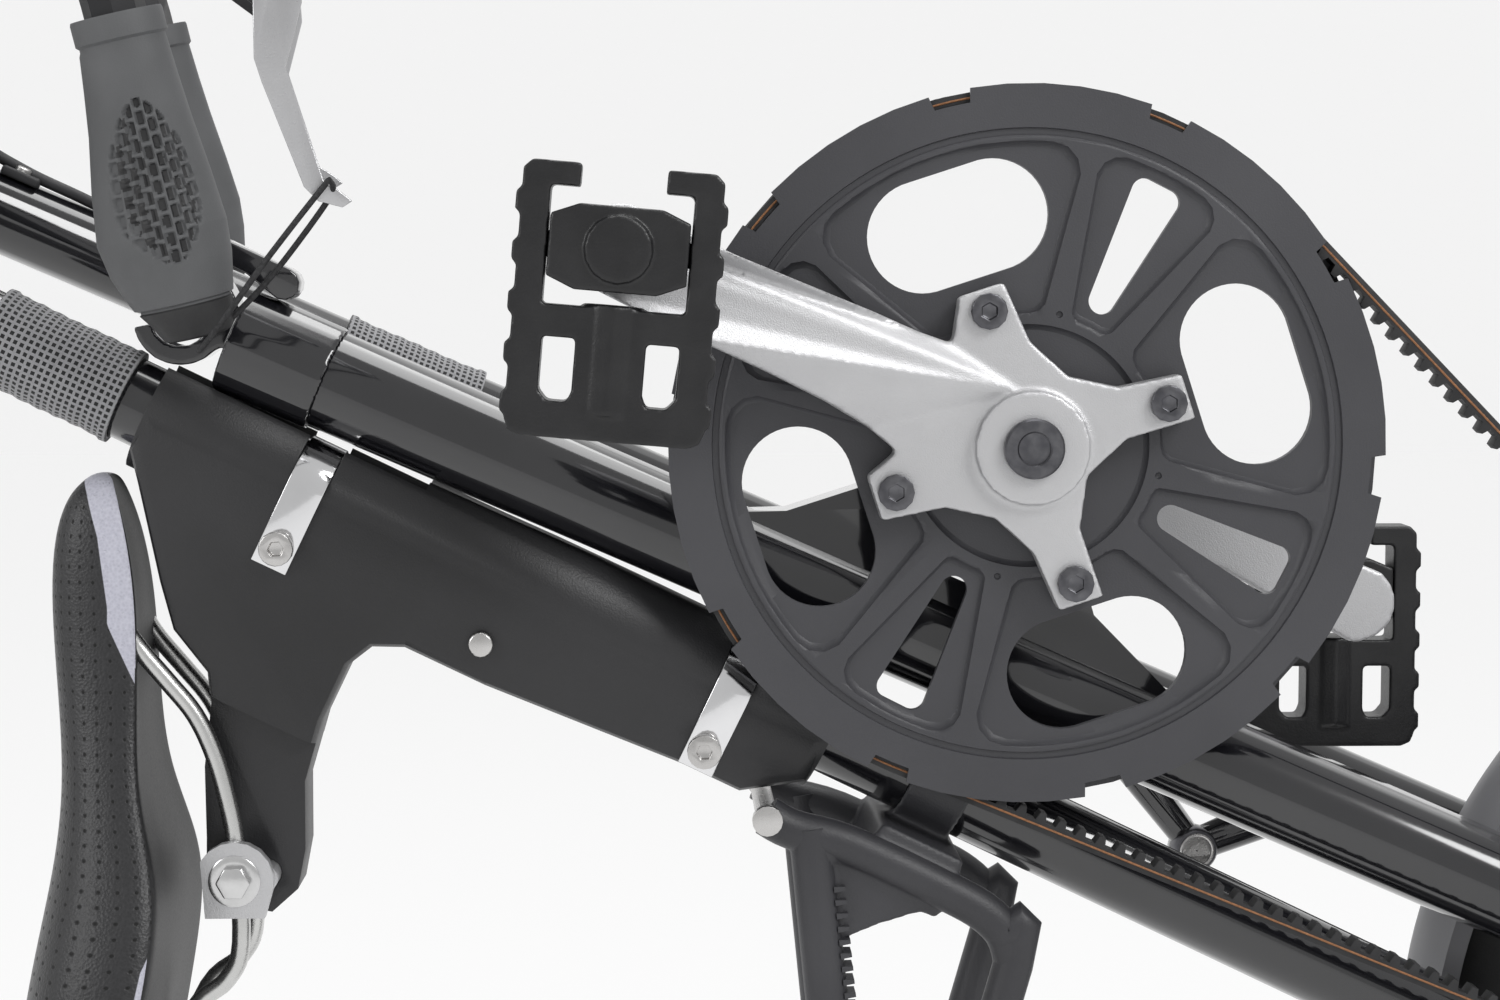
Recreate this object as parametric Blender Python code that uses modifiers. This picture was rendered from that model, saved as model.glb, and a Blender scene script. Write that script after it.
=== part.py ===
"""A folding bicycle with three tubes, one-sided wheels and a toothed belt, standing folded on its two wheels and its rack.

Sizes are in millimetres and MM turns them into metres. In the folded stance X runs along the tubes, from the
handlebar on the left to the wheels on the right, Y runs away from the belt side and Z is up. Angles in the
X-Z plane are counted from +X towards +Z.
"""

import math

import bmesh
import bpy
from mathutils import Matrix, Vector

MM = 0.001
ROUND_SIDES = 20

# Wheels and the belt drive
wheel_radius = 200.0
tyre_width = 36.0
belt_pitch = 8.0
pulley_teeth = 100
sprocket_teeth = 28
belt_teeth = 179
drive_slope = 34.15
belt_width = 8.4
belt_back = 3.4
tooth_height = 3.4
tooth_gap = 0.3
pulley_front = -87.0
pulley_back = -74.0
flange_thickness = 2.0
flange_height = 4.7

# Tubes: slopes run down to the right when folded
seat_slope = 25.8
seat_tube_radius = 16.0
seat_tube_drop = 65.0
seat_tube_side = -52.0
bottom_slope = 23.6
bottom_tube_radius = 19.0
bottom_tube_side = -52.0
claw_reach = 748.0
front_slope = 23.9
front_lean_folded = 7.2
front_tube_radius = 16.0
front_tube_top = 75.0
front_rake = 12.0
top_back = 803.0
top_rise = 353.1
top_side = 42.0
ball_station = 603.0
ball_drop = 49.5
ball_side = -5.5
ball_radius = 10.0

# Crank set
bolt_circle = 52.0
first_bolt_angle = 18.0
crank_length = 165.0
crank_angle = 154.4
notch_angle = -5.0
crank_root_face = -98.0
crank_tip_face = -127.0
left_crank_inner = 26.0
left_crank_outer = 38.0
pedal_hinge_out = 33.0
right_pedal_tilt = 5.0
left_pedal_tilt = 0.0

# Handlebar
stem_reach = 160.0
stem_back = -58.5
stem_side = -42.0
bar_spacing = 113.0
bar_pin_tilt = 28.0
bar_radius = 11.1
bar_straight = 101.0
bar_bend_radius = 60.0
bar_bend = 24.8
bar_to_grip = 5.5
grip_length = 117.0
grip_radius = 16.5

# Fits
gap = 0.3
running_gap = 0.3

# Where the middle of the folded bike lies, so that the origin is under it
middle_x = 44.8
middle_y = 2.1


def rad(degrees):
    return math.radians(degrees)


# Collections and materials

for old in list(bpy.data.objects):
    bpy.data.objects.remove(old, do_unlink=True)
bike = bpy.data.collections.new("folding_bike")
bpy.context.scene.collection.children.link(bike)
helpers = bpy.data.collections.new("cutters")
bpy.context.scene.collection.children.link(helpers)


def material(name, colour, metallic, roughness):
    made = bpy.data.materials.new(name)
    made.use_nodes = True
    shader = made.node_tree.nodes["Principled BSDF"]
    shader.inputs["Base Color"].default_value = (*colour, 1.0)
    shader.inputs["Metallic"].default_value = metallic
    shader.inputs["Roughness"].default_value = roughness
    made.diffuse_color = (*colour, 1.0)
    return made


GLOSS_BLACK = material("gloss_black_paint", (0.012, 0.012, 0.016), 0.0, 0.12)
MATT_BLACK = material("matt_black_plastic", (0.030, 0.030, 0.033), 0.0, 0.55)
PULLEY_GREY = material("pulley_nylon", (0.060, 0.060, 0.068), 0.0, 0.6)
MOULDING = material("seat_moulding_plastic", (0.045, 0.045, 0.048), 0.0, 0.5)
RACK_GREY = material("rack_plastic", (0.070, 0.070, 0.078), 0.0, 0.5)
SATIN = material("satin_aluminium", (0.62, 0.62, 0.63), 1.0, 0.35)
CHROME = material("chrome", (0.75, 0.75, 0.76), 1.0, 0.08)
STEEL = material("zinc_steel", (0.55, 0.54, 0.52), 1.0, 0.3)
RUBBER = material("rubber", (0.020, 0.020, 0.021), 0.0, 0.7)
GRIP_GREY = material("grip_rubber", (0.155, 0.160, 0.165), 0.0, 0.7)
LEATHER = material("saddle_leather", (0.025, 0.025, 0.027), 0.0, 0.45)
MUDGUARD_GREY = material("mudguard_plastic", (0.45, 0.45, 0.46), 0.0, 0.4)
STRAP = material("strap_fabric", (0.10, 0.10, 0.10), 0.0, 0.8)


# Modelling helpers

def frame(name, parent, at=(0.0, 0.0, 0.0), turn=(0.0, 0.0, 0.0)):
    """An empty that carries pieces. The turn is in degrees about X, Y and Z."""
    made = bpy.data.objects.new(name, None)
    made.empty_display_size = 0.02
    bike.objects.link(made)
    made.parent = parent
    made.location = Vector(at) * MM
    made.rotation_euler = [rad(a) for a in turn]
    return made


def place(obj, parent, at=(0.0, 0.0, 0.0), turn=(0.0, 0.0, 0.0), paint=None):
    obj.parent = parent
    obj.location = Vector(at) * MM
    obj.rotation_euler = [rad(a) for a in turn]
    if paint:
        obj.data.materials.clear()
        obj.data.materials.append(paint)
    return obj


def mesh_object(name, mesh):
    made = bpy.data.objects.new(name, mesh)
    bike.objects.link(made)
    return made


def from_bmesh(name, shape):
    mesh = bpy.data.meshes.new(name)
    bmesh.ops.recalc_face_normals(shape, faces=shape.faces)
    shape.to_mesh(mesh)
    shape.free()
    return mesh_object(name, mesh)


def box(name, size, parent, at=(0.0, 0.0, 0.0), turn=(0.0, 0.0, 0.0), paint=None, rounding=0.0):
    shape = bmesh.new()
    bmesh.ops.create_cube(shape, size=1.0)
    bmesh.ops.scale(shape, vec=Vector(size) * MM, verts=shape.verts)
    made = place(from_bmesh(name, shape), parent, at, turn, paint)
    if rounding:
        bevel(made, rounding, 1)
    return made


def cylinder(name, radius, start, end, parent, sides=ROUND_SIDES, paint=None, end_radius=None):
    """A cylinder, or a cone with end_radius, between two points of its parent's frame."""
    a, b = Vector(start) * MM, Vector(end) * MM
    shape = bmesh.new()
    bmesh.ops.create_cone(
        shape,
        cap_ends=True,
        segments=sides,
        radius1=radius * MM,
        radius2=(radius if end_radius is None else end_radius) * MM,
        depth=(b - a).length,
    )
    made = from_bmesh(name, shape)
    made.parent = parent
    made.location = (a + b) / 2
    made.rotation_euler = (b - a).to_track_quat("Z", "Y").to_euler()
    if paint:
        made.data.materials.append(paint)
    return made


def turned(name, profile, steps, parent, at=(0.0, 0.0, 0.0), turn=(90.0, 0.0, 0.0), paint=None, sweep=360.0):
    """A closed profile of (radius, height) points turned about Z, which the default turn lays along -Y."""
    mesh = bpy.data.meshes.new(name)
    count = len(profile)
    points = [(r * MM, 0.0, h * MM) for r, h in profile]
    mesh.from_pydata(points, [(i, (i + 1) % count) for i in range(count)], [])
    made = place(mesh_object(name, mesh), parent, at, turn, paint)
    screw = made.modifiers.new("turn", "SCREW")
    screw.axis = "Z"
    screw.angle = rad(sweep)
    screw.steps = steps
    screw.render_steps = steps
    screw.use_merge_vertices = True
    screw.merge_threshold = 0.00001
    screw.use_smooth_shade = True
    return made


def plate(name, outlines, side_from, side_to, parent, at=(0.0, 0.0, 0.0), turn=(0.0, 0.0, 0.0), paint=None):
    """Flat outlines of (x, z) points, the first the outer one, with their thickness from side_from to side_to along Y."""
    curve = bpy.data.curves.new(name, "CURVE")
    curve.dimensions = "2D"
    curve.fill_mode = "BOTH"
    curve.extrude = abs(side_to - side_from) / 2 * MM
    for outline in outlines:
        spline = curve.splines.new("POLY")
        spline.points.add(len(outline) - 1)
        spline.use_cyclic_u = True
        for point, (x, z) in zip(spline.points, outline):
            point.co = (x * MM, z * MM, 0.0, 1.0)
    flat = bpy.data.objects.new(name, curve)
    bike.objects.link(flat)
    flat.rotation_euler = (rad(90.0), 0.0, 0.0)
    flat.location = (0.0, (side_from + side_to) / 2 * MM, 0.0)
    return place(as_mesh(flat, bake=True), parent, at, turn, paint)


def pipe(name, points, radius, parent, paint=None, sides=2, at=(0.0, 0.0, 0.0), turn=(0.0, 0.0, 0.0)):
    """A round bar through the points, with capped ends."""
    curve = bpy.data.curves.new(name, "CURVE")
    curve.dimensions = "3D"
    curve.bevel_depth = radius * MM
    curve.bevel_resolution = sides
    curve.use_fill_caps = True
    spline = curve.splines.new("POLY")
    spline.points.add(len(points) - 1)
    for point, place_mm in zip(spline.points, points):
        point.co = (*(Vector(place_mm) * MM), 1.0)
    bar = bpy.data.objects.new(name, curve)
    bike.objects.link(bar)
    return place(as_mesh(bar), parent, at, turn, paint)


def as_mesh(obj, bake=False):
    """The curve's own mesh with its caps welded. Bake keeps the object's turn in the points."""
    bpy.context.view_layer.update()
    seen = obj.evaluated_get(bpy.context.evaluated_depsgraph_get())
    mesh = bpy.data.meshes.new_from_object(seen)
    name = obj.name
    if bake:
        mesh.transform(obj.matrix_world)
    curve = obj.data
    bpy.data.objects.remove(obj, do_unlink=True)
    bpy.data.curves.remove(curve)
    mesh.name = name
    shape = bmesh.new()
    shape.from_mesh(mesh)
    bmesh.ops.remove_doubles(shape, verts=shape.verts, dist=0.000001)
    bmesh.ops.recalc_face_normals(shape, faces=shape.faces)
    if bake:
        bmesh.ops.dissolve_limit(shape, angle_limit=rad(0.05), verts=shape.verts, edges=shape.edges)
    shape.to_mesh(mesh)
    shape.free()
    return mesh_object(name, mesh)


def flatten(obj):
    """Merges the coplanar slivers that cuts leave on flat faces."""
    made = obj.modifiers.new("flatten", "DECIMATE")
    made.decimate_type = "DISSOLVE"
    made.angle_limit = rad(0.05)
    return obj


def bevel(obj, width, segments, angle=40.0):
    made = obj.modifiers.new("round", "BEVEL")
    made.width = width * MM
    made.segments = segments
    made.limit_method = "ANGLE"
    made.angle_limit = rad(angle)
    return obj


def hide(obj):
    bike.objects.unlink(obj)
    helpers.objects.link(obj)
    obj.hide_render = True
    obj.display_type = "WIRE"
    return obj


def boolean(obj, others, operation):
    for other in others:
        step = obj.modifiers.new(operation.lower(), "BOOLEAN")
        step.operation = operation
        step.object = hide(other)
    return obj


def join(obj, *others):
    return boolean(obj, others, "UNION")


def cut(obj, *others):
    return boolean(obj, others, "DIFFERENCE")


def around(radius, start, end, steps, centre=(0.0, 0.0)):
    """Points (x, z) along an arc, from one angle in degrees to another."""
    turns = [rad(start + (end - start) * i / steps) for i in range(steps + 1)]
    return [(centre[0] + radius * math.cos(t), centre[1] + radius * math.sin(t)) for t in turns]


def oval(half_width, half_height, start, end, steps):
    turns = [rad(start + (end - start) * i / steps) for i in range(steps + 1)]
    return [(half_width * math.cos(t), half_height * math.sin(t)) for t in turns]


def ring(radius, steps, centre=(0.0, 0.0)):
    return around(radius, 0.0, 360.0 * (steps - 1) / steps, steps - 1, centre)


def valley(start, low, end, steps):
    """A curve from start to end that passes the low point half way, without its two ends."""
    s, l, e = Vector(start), Vector(low), Vector(end)
    pull = 2 * l - (s + e) / 2
    spots = [i / steps for i in range(1, steps)]
    return [tuple((1 - t) ** 2 * s + 2 * t * (1 - t) * pull + t * t * e) for t in spots]


def sleeve(name, inner, outer, start, end, parent, sides=ROUND_SIDES, paint=None):
    """A tube along X of its parent, from start to end, bored right through."""
    made = cylinder(name, outer, start, end, parent, sides, paint)
    a, b = Vector(start), Vector(end)
    over = (b - a).normalized() * 5.0
    return cut(made, cylinder(name + "_bore", inner, a - over, b + over, parent, sides))


# Where the axes lie

pulley_pitch = belt_pitch * pulley_teeth / (2 * math.pi)
sprocket_pitch = belt_pitch * sprocket_teeth / (2 * math.pi)


def belt_length(centres):
    lean = math.asin((pulley_pitch - sprocket_pitch) / centres)
    wraps = math.pi * (pulley_pitch + sprocket_pitch) + 2 * lean * (pulley_pitch - sprocket_pitch)
    return 2 * centres * math.cos(lean) + wraps


drive_centres = belt_pitch * belt_teeth / 4
for trial in range(40):
    drive_centres += (belt_pitch * belt_teeth - belt_length(drive_centres)) / 2
rear_axle_x = 372.4
bracket_x = rear_axle_x - drive_centres * math.cos(rad(drive_slope))
bracket_z = wheel_radius + drive_centres * math.sin(rad(drive_slope))

# The unfolded triangle: seat side, bottom tube and the front tube down to its ball
seat_side = math.hypot(top_back, top_rise)
seat_side_slope = math.degrees(math.atan2(top_rise, top_back))
ball_reach = math.hypot(ball_station, ball_drop)
at_top = (seat_side**2 + ball_reach**2 - claw_reach**2) / (2 * seat_side * ball_reach)
at_axle = (seat_side**2 + claw_reach**2 - ball_reach**2) / (2 * seat_side * claw_reach)
front_slope_open = seat_side_slope - math.degrees(math.acos(at_top)) - math.degrees(math.atan2(ball_drop, ball_station))
bottom_fold = math.degrees(math.acos(at_axle)) + seat_side_slope - bottom_slope
folded = Matrix.Rotation(rad(front_slope), 3, "Y") @ Matrix.Rotation(rad(front_lean_folded), 3, "Z")
unfolded = Matrix.Rotation(rad(front_slope_open), 3, "Y")
fold_axis, fold_angle = (unfolded @ folded.transposed()).to_quaternion().to_axis_angle()

origin = frame("folding_bike_origin", None, (-middle_x, -middle_y, 0.0))
rear_axle = frame("rear_axle", origin, (rear_axle_x, 0.0, wheel_radius))
seat_line = frame("seat_line", rear_axle, (0.0, seat_tube_side, 0.0), (0.0, seat_slope, 0.0))
bottom_line = frame("bottom_line", rear_axle, (0.0, bottom_tube_side, 0.0), (0.0, bottom_slope, 0.0))
bracket = frame("bracket", origin, (bracket_x, 0.0, bracket_z))
top_joint = frame("top_joint", rear_axle, (-top_back, top_side, top_rise))
front_fall = frame("front_fall", top_joint, turn=(0.0, front_slope, 0.0))
front_line = frame("front_line", front_fall, turn=(0.0, 0.0, front_lean_folded))
fold_pin = frame("fold_pin", top_joint)
fold_pin.rotation_euler = fold_axis.to_track_quat("Z", "X").to_euler()

# Both hubs are level when folded
lean_cos = math.cos(rad(front_lean_folded))
lean_sin = math.sin(rad(front_lean_folded))
slope_cos = math.cos(rad(front_slope))
slope_sin = math.sin(rad(front_slope))
front_offset = -top_side
hub_station = (top_rise + front_offset * lean_sin * slope_sin + front_rake * slope_cos) / (slope_sin * lean_cos)
front_hub = frame("front_hub", front_line, (hub_station, front_offset, front_rake))


# Belt pulley: nylon disc with flanges, teeth, spoke windows and slots

tooth_angle = 360.0 / pulley_teeth
groove_half = 0.30 * belt_pitch
tooth_half = groove_half - tooth_gap
groove_floor = pulley_pitch - 0.7 - tooth_height - tooth_gap
pulley_tip = pulley_pitch - 0.7
belt_inner = 0.35
flange_radius = pulley_pitch + flange_height
ring_inner = pulley_pitch - 12.0


def toothed(teeth, tip, floor, first):
    """The outline of a wheel with trapezium grooves. First is the angle of one groove's middle."""
    points = []
    for i in range(teeth):
        middle = first + 360.0 * i / teeth
        for radius, shift in ((tip, -1.0), (floor, -0.62), (floor, 0.62), (tip, 1.0)):
            turn = rad(middle) + shift * groove_half / tip
            points.append((radius * math.cos(turn), radius * math.sin(turn)))
    return points


first_groove = notch_angle + tooth_angle / 2
belt_pulley_name = "belt_pulley"
face_outline = []
notch_half = 3.4
for i in range(10):
    middle = notch_angle + 36.0 * i
    face_outline += around(flange_radius, middle - 36.0 + notch_half, middle - notch_half, 5)
    face_outline += around(pulley_pitch - 0.5, middle - notch_half + 0.4, middle + notch_half - 0.4, 2)

kidney_inner = 63.0
kidney_outer = 107.5
kidney_half = 22.0
slot_inner = 53.0
slot_outer = 106.5
slot_half = 5.3
windows = []
for i in range(4):
    kidney = first_bolt_angle + 90.0 * i
    bolt_bump = around(15.0, kidney + 118.0, kidney - 118.0, 5, around(bolt_circle, kidney, kidney, 1)[0])
    outer_arc = around(kidney_outer, kidney - kidney_half, kidney + kidney_half, 6)
    left_corner = around(12.0, kidney + kidney_half + 5.0, kidney + 150.0, 3, around(kidney_outer - 14.0, kidney + 17.0, kidney + 17.0, 1)[0])
    right_corner = around(12.0, kidney - 150.0, kidney - kidney_half - 5.0, 3, around(kidney_outer - 14.0, kidney - 17.0, kidney - 17.0, 1)[0])
    windows.append(outer_arc[1:-1] + left_corner + bolt_bump + right_corner)
    slot = kidney + 45.0
    windows.append(
        around(slot_outer, slot - slot_half + 1.0, slot + slot_half - 1.0, 3)
        + [around(slot_outer - 4.0, slot + slot_half, slot + slot_half, 1)[0]]
        + around(slot_inner, slot + slot_half - 1.5, slot - slot_half + 1.5, 2)
        + [around(slot_outer - 4.0, slot - slot_half, slot - slot_half, 1)[0]]
    )
spindle_radius = 8.5
web_back = pulley_front + 6.0
pulley_bore = 20.0
belt_pulley = plate(belt_pulley_name, [face_outline], pulley_front, pulley_front + flange_thickness, bracket, paint=PULLEY_GREY)
web = plate("pulley_web", [ring(ring_inner + 2.0, 48)], pulley_front + 1.0, web_back, bracket)
teeth_ring = plate(
    "pulley_teeth",
    [toothed(pulley_teeth, pulley_tip, groove_floor, first_groove), ring(ring_inner, 40)],
    pulley_front + flange_thickness - 0.5,
    pulley_back - flange_thickness + 0.5,
    bracket,
)
back_flange = plate("pulley_back", [ring(flange_radius - 1.0, 48), ring(ring_inner - 1.0, 40)], pulley_back - flange_thickness, pulley_back, bracket)
join(belt_pulley, web, teeth_ring, back_flange)
cut(belt_pulley, cylinder("pulley_bore", pulley_bore, (0.0, pulley_front - 9.0, 0.0), (0.0, pulley_back + 9.0, 0.0), bracket, ROUND_SIDES))
for window in windows:
    cut(belt_pulley, plate("pulley_window", [window], pulley_front - 9.0, pulley_back + 9.0, bracket))
for i in range(4):
    spot = around(bolt_circle, first_bolt_angle + 90.0 * i, 0.0, 1)[0]
    cut(belt_pulley, cylinder("bolt_way", 4.6, (spot[0], pulley_front - 9.0, spot[1]), (spot[0], pulley_back + 9.0, spot[1]), bracket, 8))


flatten(belt_pulley)


# Toothed belt on its pitch line

lean = math.degrees(math.asin((pulley_pitch - sprocket_pitch) / drive_centres))
down_line = -drive_slope
upper_angle = down_line + 90.0 - lean
lower_angle = down_line - 90.0 + lean
sprocket_at = (drive_centres * math.cos(rad(down_line)), drive_centres * math.sin(rad(down_line)))
straight = drive_centres * math.cos(rad(lean))
wrap_pulley = rad(360.0 - (upper_angle - lower_angle)) * pulley_pitch
wrap_sprocket = rad(upper_angle - lower_angle) * sprocket_pitch
loop_length = wrap_pulley + wrap_sprocket + 2 * straight


def on_belt(distance, offset):
    """The point at this distance along the pitch line, offset outwards. It starts where the upper run meets the pulley."""
    s = distance % loop_length
    if s < wrap_pulley:
        turn = rad(upper_angle) + s / pulley_pitch
        reach = pulley_pitch + offset
        return (reach * math.cos(turn), reach * math.sin(turn))
    s -= wrap_pulley
    along = rad(lower_angle + 90.0)
    if s < straight:
        base = around(pulley_pitch + offset, lower_angle, lower_angle, 1)[0]
        return (base[0] + s * math.cos(along), base[1] + s * math.sin(along))
    s -= straight
    if s < wrap_sprocket:
        turn = rad(lower_angle) + s / sprocket_pitch
        reach = sprocket_pitch + offset
        return (sprocket_at[0] + reach * math.cos(turn), sprocket_at[1] + reach * math.sin(turn))
    s -= wrap_sprocket
    base = around(sprocket_pitch + offset, upper_angle, upper_angle, 1, sprocket_at)[0]
    back = rad(upper_angle + 90.0)
    return (base[0] + s * math.cos(back), base[1] + s * math.sin(back))


grooves_past = math.ceil((upper_angle - first_groove) / tooth_angle)
first_tooth = rad(first_groove + grooves_past * tooth_angle - upper_angle) * pulley_pitch
tooth_step = loop_length / belt_teeth
inner_side = []
for i in range(belt_teeth):
    middle = first_tooth + i * tooth_step
    for shift, depth in ((-1.0, 0.0), (-0.55, tooth_height), (0.55, tooth_height), (1.0, 0.0)):
        inner_side.append(on_belt(middle + shift * tooth_half, -belt_inner - depth))
outer_side = []
back_step = rad(6.0)
stops = [i * back_step * pulley_pitch for i in range(int(wrap_pulley / (back_step * pulley_pitch)) + 1)]
stops += [wrap_pulley, wrap_pulley + straight]
stops += [wrap_pulley + straight + wrap_sprocket * i / 12 for i in range(1, 13)]
for stop in stops:
    outer_side.append(on_belt(stop, belt_back))
belt_middle = (pulley_front + pulley_back) / 2
belt = plate("toothed_belt", [outer_side, inner_side], belt_middle - belt_width / 2, belt_middle + belt_width / 2, bracket, paint=RUBBER)


# Rear sprocket, in mesh with the belt's teeth

meeting = first_tooth + tooth_step * math.ceil((wrap_pulley + straight - first_tooth) / tooth_step)
sprocket_first = lower_angle + math.degrees((meeting - wrap_pulley - straight) / sprocket_pitch)
axle_radius = 10.0
sprocket_tip = sprocket_pitch - 0.7
rear_sprocket = plate(
    "rear_sprocket",
    [toothed(sprocket_teeth, sprocket_tip, sprocket_tip - tooth_height - tooth_gap, sprocket_first), ring(axle_radius + running_gap, ROUND_SIDES)],
    belt_middle - belt_width / 2 - 0.5,
    belt_middle + belt_width / 2 + 0.5,
    rear_axle,
    paint=STEEL,
)
sprocket_flange = turned(
    "sprocket_flange",
    [(sprocket_pitch + 3.0, 1.0), (sprocket_pitch + 3.0, -1.0), (axle_radius + 5.0, -1.0), (axle_radius + 5.0, 1.0)],
    24,
    rear_axle,
    (0.0, belt_middle + belt_width / 2 + 1.2, 0.0),
)
flatten(join(rear_sprocket, sprocket_flange))


# Crank spindle, right crank with its four-arm spider, and the left crank

spindle = cylinder("bracket_spindle", spindle_radius, (0.0, crank_root_face + 4.0, 0.0), (0.0, left_crank_outer - 3.0, 0.0), bracket, ROUND_SIDES, STEEL)
spider_angle = first_bolt_angle + 135.0
spider = frame("spider", bracket, turn=(0.0, -spider_angle, 0.0))
arm_end_out = 60.0
arm_end_half = 8.5
pedal_off = crank_angle - spider_angle
pedal_x, pedal_z = around(crank_length, pedal_off, pedal_off, 1)[0]


def bolt_arm(angle):
    """The two corners at the end of a spider arm, in the order that goes round the outline."""
    ux, uz = math.cos(rad(angle)), math.sin(rad(angle))
    return [(arm_end_out * ux + s * arm_end_half * uz, arm_end_out * uz - s * arm_end_half * ux) for s in (1.0, -1.0)]


first, second, third, fourth = (bolt_arm(a) for a in (45.0, 135.0, 225.0, 315.0))
crank_outline = (
    first
    + valley(first[1], (0.0, 29.0), second[0], 4)
    + second
    + valley(second[1], (-23.0, 0.0), third[0], 4)
    + third
    + valley(third[1], (0.0, -29.0), fourth[0], 4)
    + fourth
    + [(43.0, -20.5), (56.0, -18.7), (75.0, -17.6), (100.0, -15.4), (128.0, -13.0), (146.0, -12.3)]
    + around(16.5, -80.0 + pedal_off, 80.0 + pedal_off, 8, (pedal_x, pedal_z))
    + [(146.0, 20.3), (128.0, 20.0), (100.0, 19.0), (75.0, 19.0), (56.0, 20.5), (43.0, 23.5)]
)
right_crank = plate("right_crank", [crank_outline], crank_root_face, pulley_front - gap, spider, paint=SATIN)
arm_rise_from = 52.0
arm_rise_to = 150.0
tip_thickness = 15.0
for vertex in right_crank.data.vertices:
    t = min(max((vertex.co.x / MM - arm_rise_from) / (arm_rise_to - arm_rise_from), 0.0), 1.0)
    ease = t * t * (3 - 2 * t)
    outer = crank_root_face - 6.0 * min(t * 6, 1.0) * (1 - ease) + (crank_tip_face - crank_root_face) * ease
    thick = (pulley_front - gap - crank_root_face) * (1 - ease) + tip_thickness * ease
    vertex.co.y = (outer if vertex.co.y / MM < (crank_root_face + pulley_front) / 2 else max(outer, crank_root_face + (crank_tip_face - crank_root_face) * ease) + thick) * MM
hub_boss = cylinder("crank_hub", 21.0, (0.0, crank_root_face - 5.0, 0.0), (0.0, pulley_back - 2.0, 0.0), spider, ROUND_SIDES, end_radius=18.5)
join(right_crank, hub_boss)
cut(right_crank, cylinder("spindle_way", spindle_radius + gap, (0.0, crank_root_face + 4.0 - gap, 0.0), (0.0, 0.0, 0.0), spider, ROUND_SIDES))
for angle in (45.0, 135.0, 225.0, 315.0):
    spot = around(bolt_circle, angle, angle, 1)[0]
    cut(right_crank, cylinder("chain_bolt_way", 4.6, (spot[0], crank_root_face - 20.0, spot[1]), (spot[0], pulley_front + 9.0, spot[1]), spider, 8))
crank_cap = cylinder("crank_cap", 11.0, (0.0, crank_root_face - 5.0 - gap, 0.0), (0.0, crank_root_face - 9.0, 0.0), bracket, 16, MATT_BLACK)
stub_radius = 6.0
stub_length = 24.0
join(right_crank, cylinder("right_stub", stub_radius, (pedal_x, crank_tip_face + 3.0, pedal_z), (pedal_x, crank_tip_face - stub_length, pedal_z), spider, 16))
chain_bolts = []
for i in range(4):
    spot = around(bolt_circle, first_bolt_angle + 90.0 * i, 0.0, 1)[0]
    bolt = cylinder(f"chain_bolt_{i + 1}", 6.7, (spot[0], crank_root_face - gap, spot[1]), (spot[0], crank_root_face - 3.5, spot[1]), bracket, 12, MATT_BLACK)
    join(bolt, cylinder("bolt_shank", 4.0, (spot[0], crank_root_face - 1.5, spot[1]), (spot[0], web_back + 1.0, spot[1]), bracket, 8))
    cut(bolt, cylinder("hex_way", 3.2, (spot[0], crank_root_face - 8.0, spot[1]), (spot[0], crank_root_face - 1.8, spot[1]), bracket, 6))
    chain_bolts.append(bolt)

left_arm = frame("left_arm", bracket, turn=(0.0, 180.0 - crank_angle, 0.0))
left_outline = (
    around(17.0, 100.0, 260.0, 8)
    + [(40.0, -13.5), (110.0, -11.5)]
    + around(16.0, -75.0, 75.0, 8, (crank_length, 0.0))
    + [(110.0, 11.5), (40.0, 13.5)]
)
left_crank = plate("left_crank", [left_outline], left_crank_inner, left_crank_outer, left_arm, paint=SATIN)
join(left_crank, cylinder("left_hub", 17.5, (0.0, left_crank_inner - 12.0, 0.0), (0.0, left_crank_outer - 0.5, 0.0), left_arm, ROUND_SIDES))
cut(left_crank, cylinder("left_way", spindle_radius + gap, (0.0, -20.0, 0.0), (0.0, left_crank_outer - 3.0 + gap, 0.0), left_arm, ROUND_SIDES))
join(left_crank, cylinder("left_stub", stub_radius, (crank_length, left_crank_outer - 3.0, 0.0), (crank_length, left_crank_outer + stub_length, 0.0), left_arm, 16))


# Folding pedals: a block that spins on the stub, and a frame hinged on its side pins

pedal_half = 34.0
rail_width = 9.7
pedal_top = 28.0
pedal_bottom = -65.0
pedal_thickness = 17.0
block_half_width = 23.7
block_half_height = 14.5
barrel_radius = 10.7
nub = 1.8
nub_length = 9.0
nub_pitch = 17.0


def pedal_outline():
    """One side of the frame, with its hook and nubs, and then the same mirrored."""
    inner = pedal_half - rail_width
    right = [(inner - 9.8, pedal_top - 8.0), (inner, pedal_top - 8.0), (inner, -20.0), (8.0, -20.0)]
    hook = [(inner - 9.8, pedal_top), (pedal_half - 3.0, pedal_top), (pedal_half, pedal_top - 3.0)]
    side = []
    for i in range(5):
        top = pedal_top - 9.5 - nub_pitch * i
        side += [(pedal_half, top), (pedal_half + nub, top - 1.5), (pedal_half + nub, top - nub_length + 1.5), (pedal_half, top - nub_length)]
    corner = around(5.5, 0.0, -90.0, 2, (pedal_half - 5.5, pedal_bottom + 5.5))
    half = list(reversed(right)) + hook + side + corner
    return half + [(-x, z) for x, z in reversed(half)]


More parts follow.
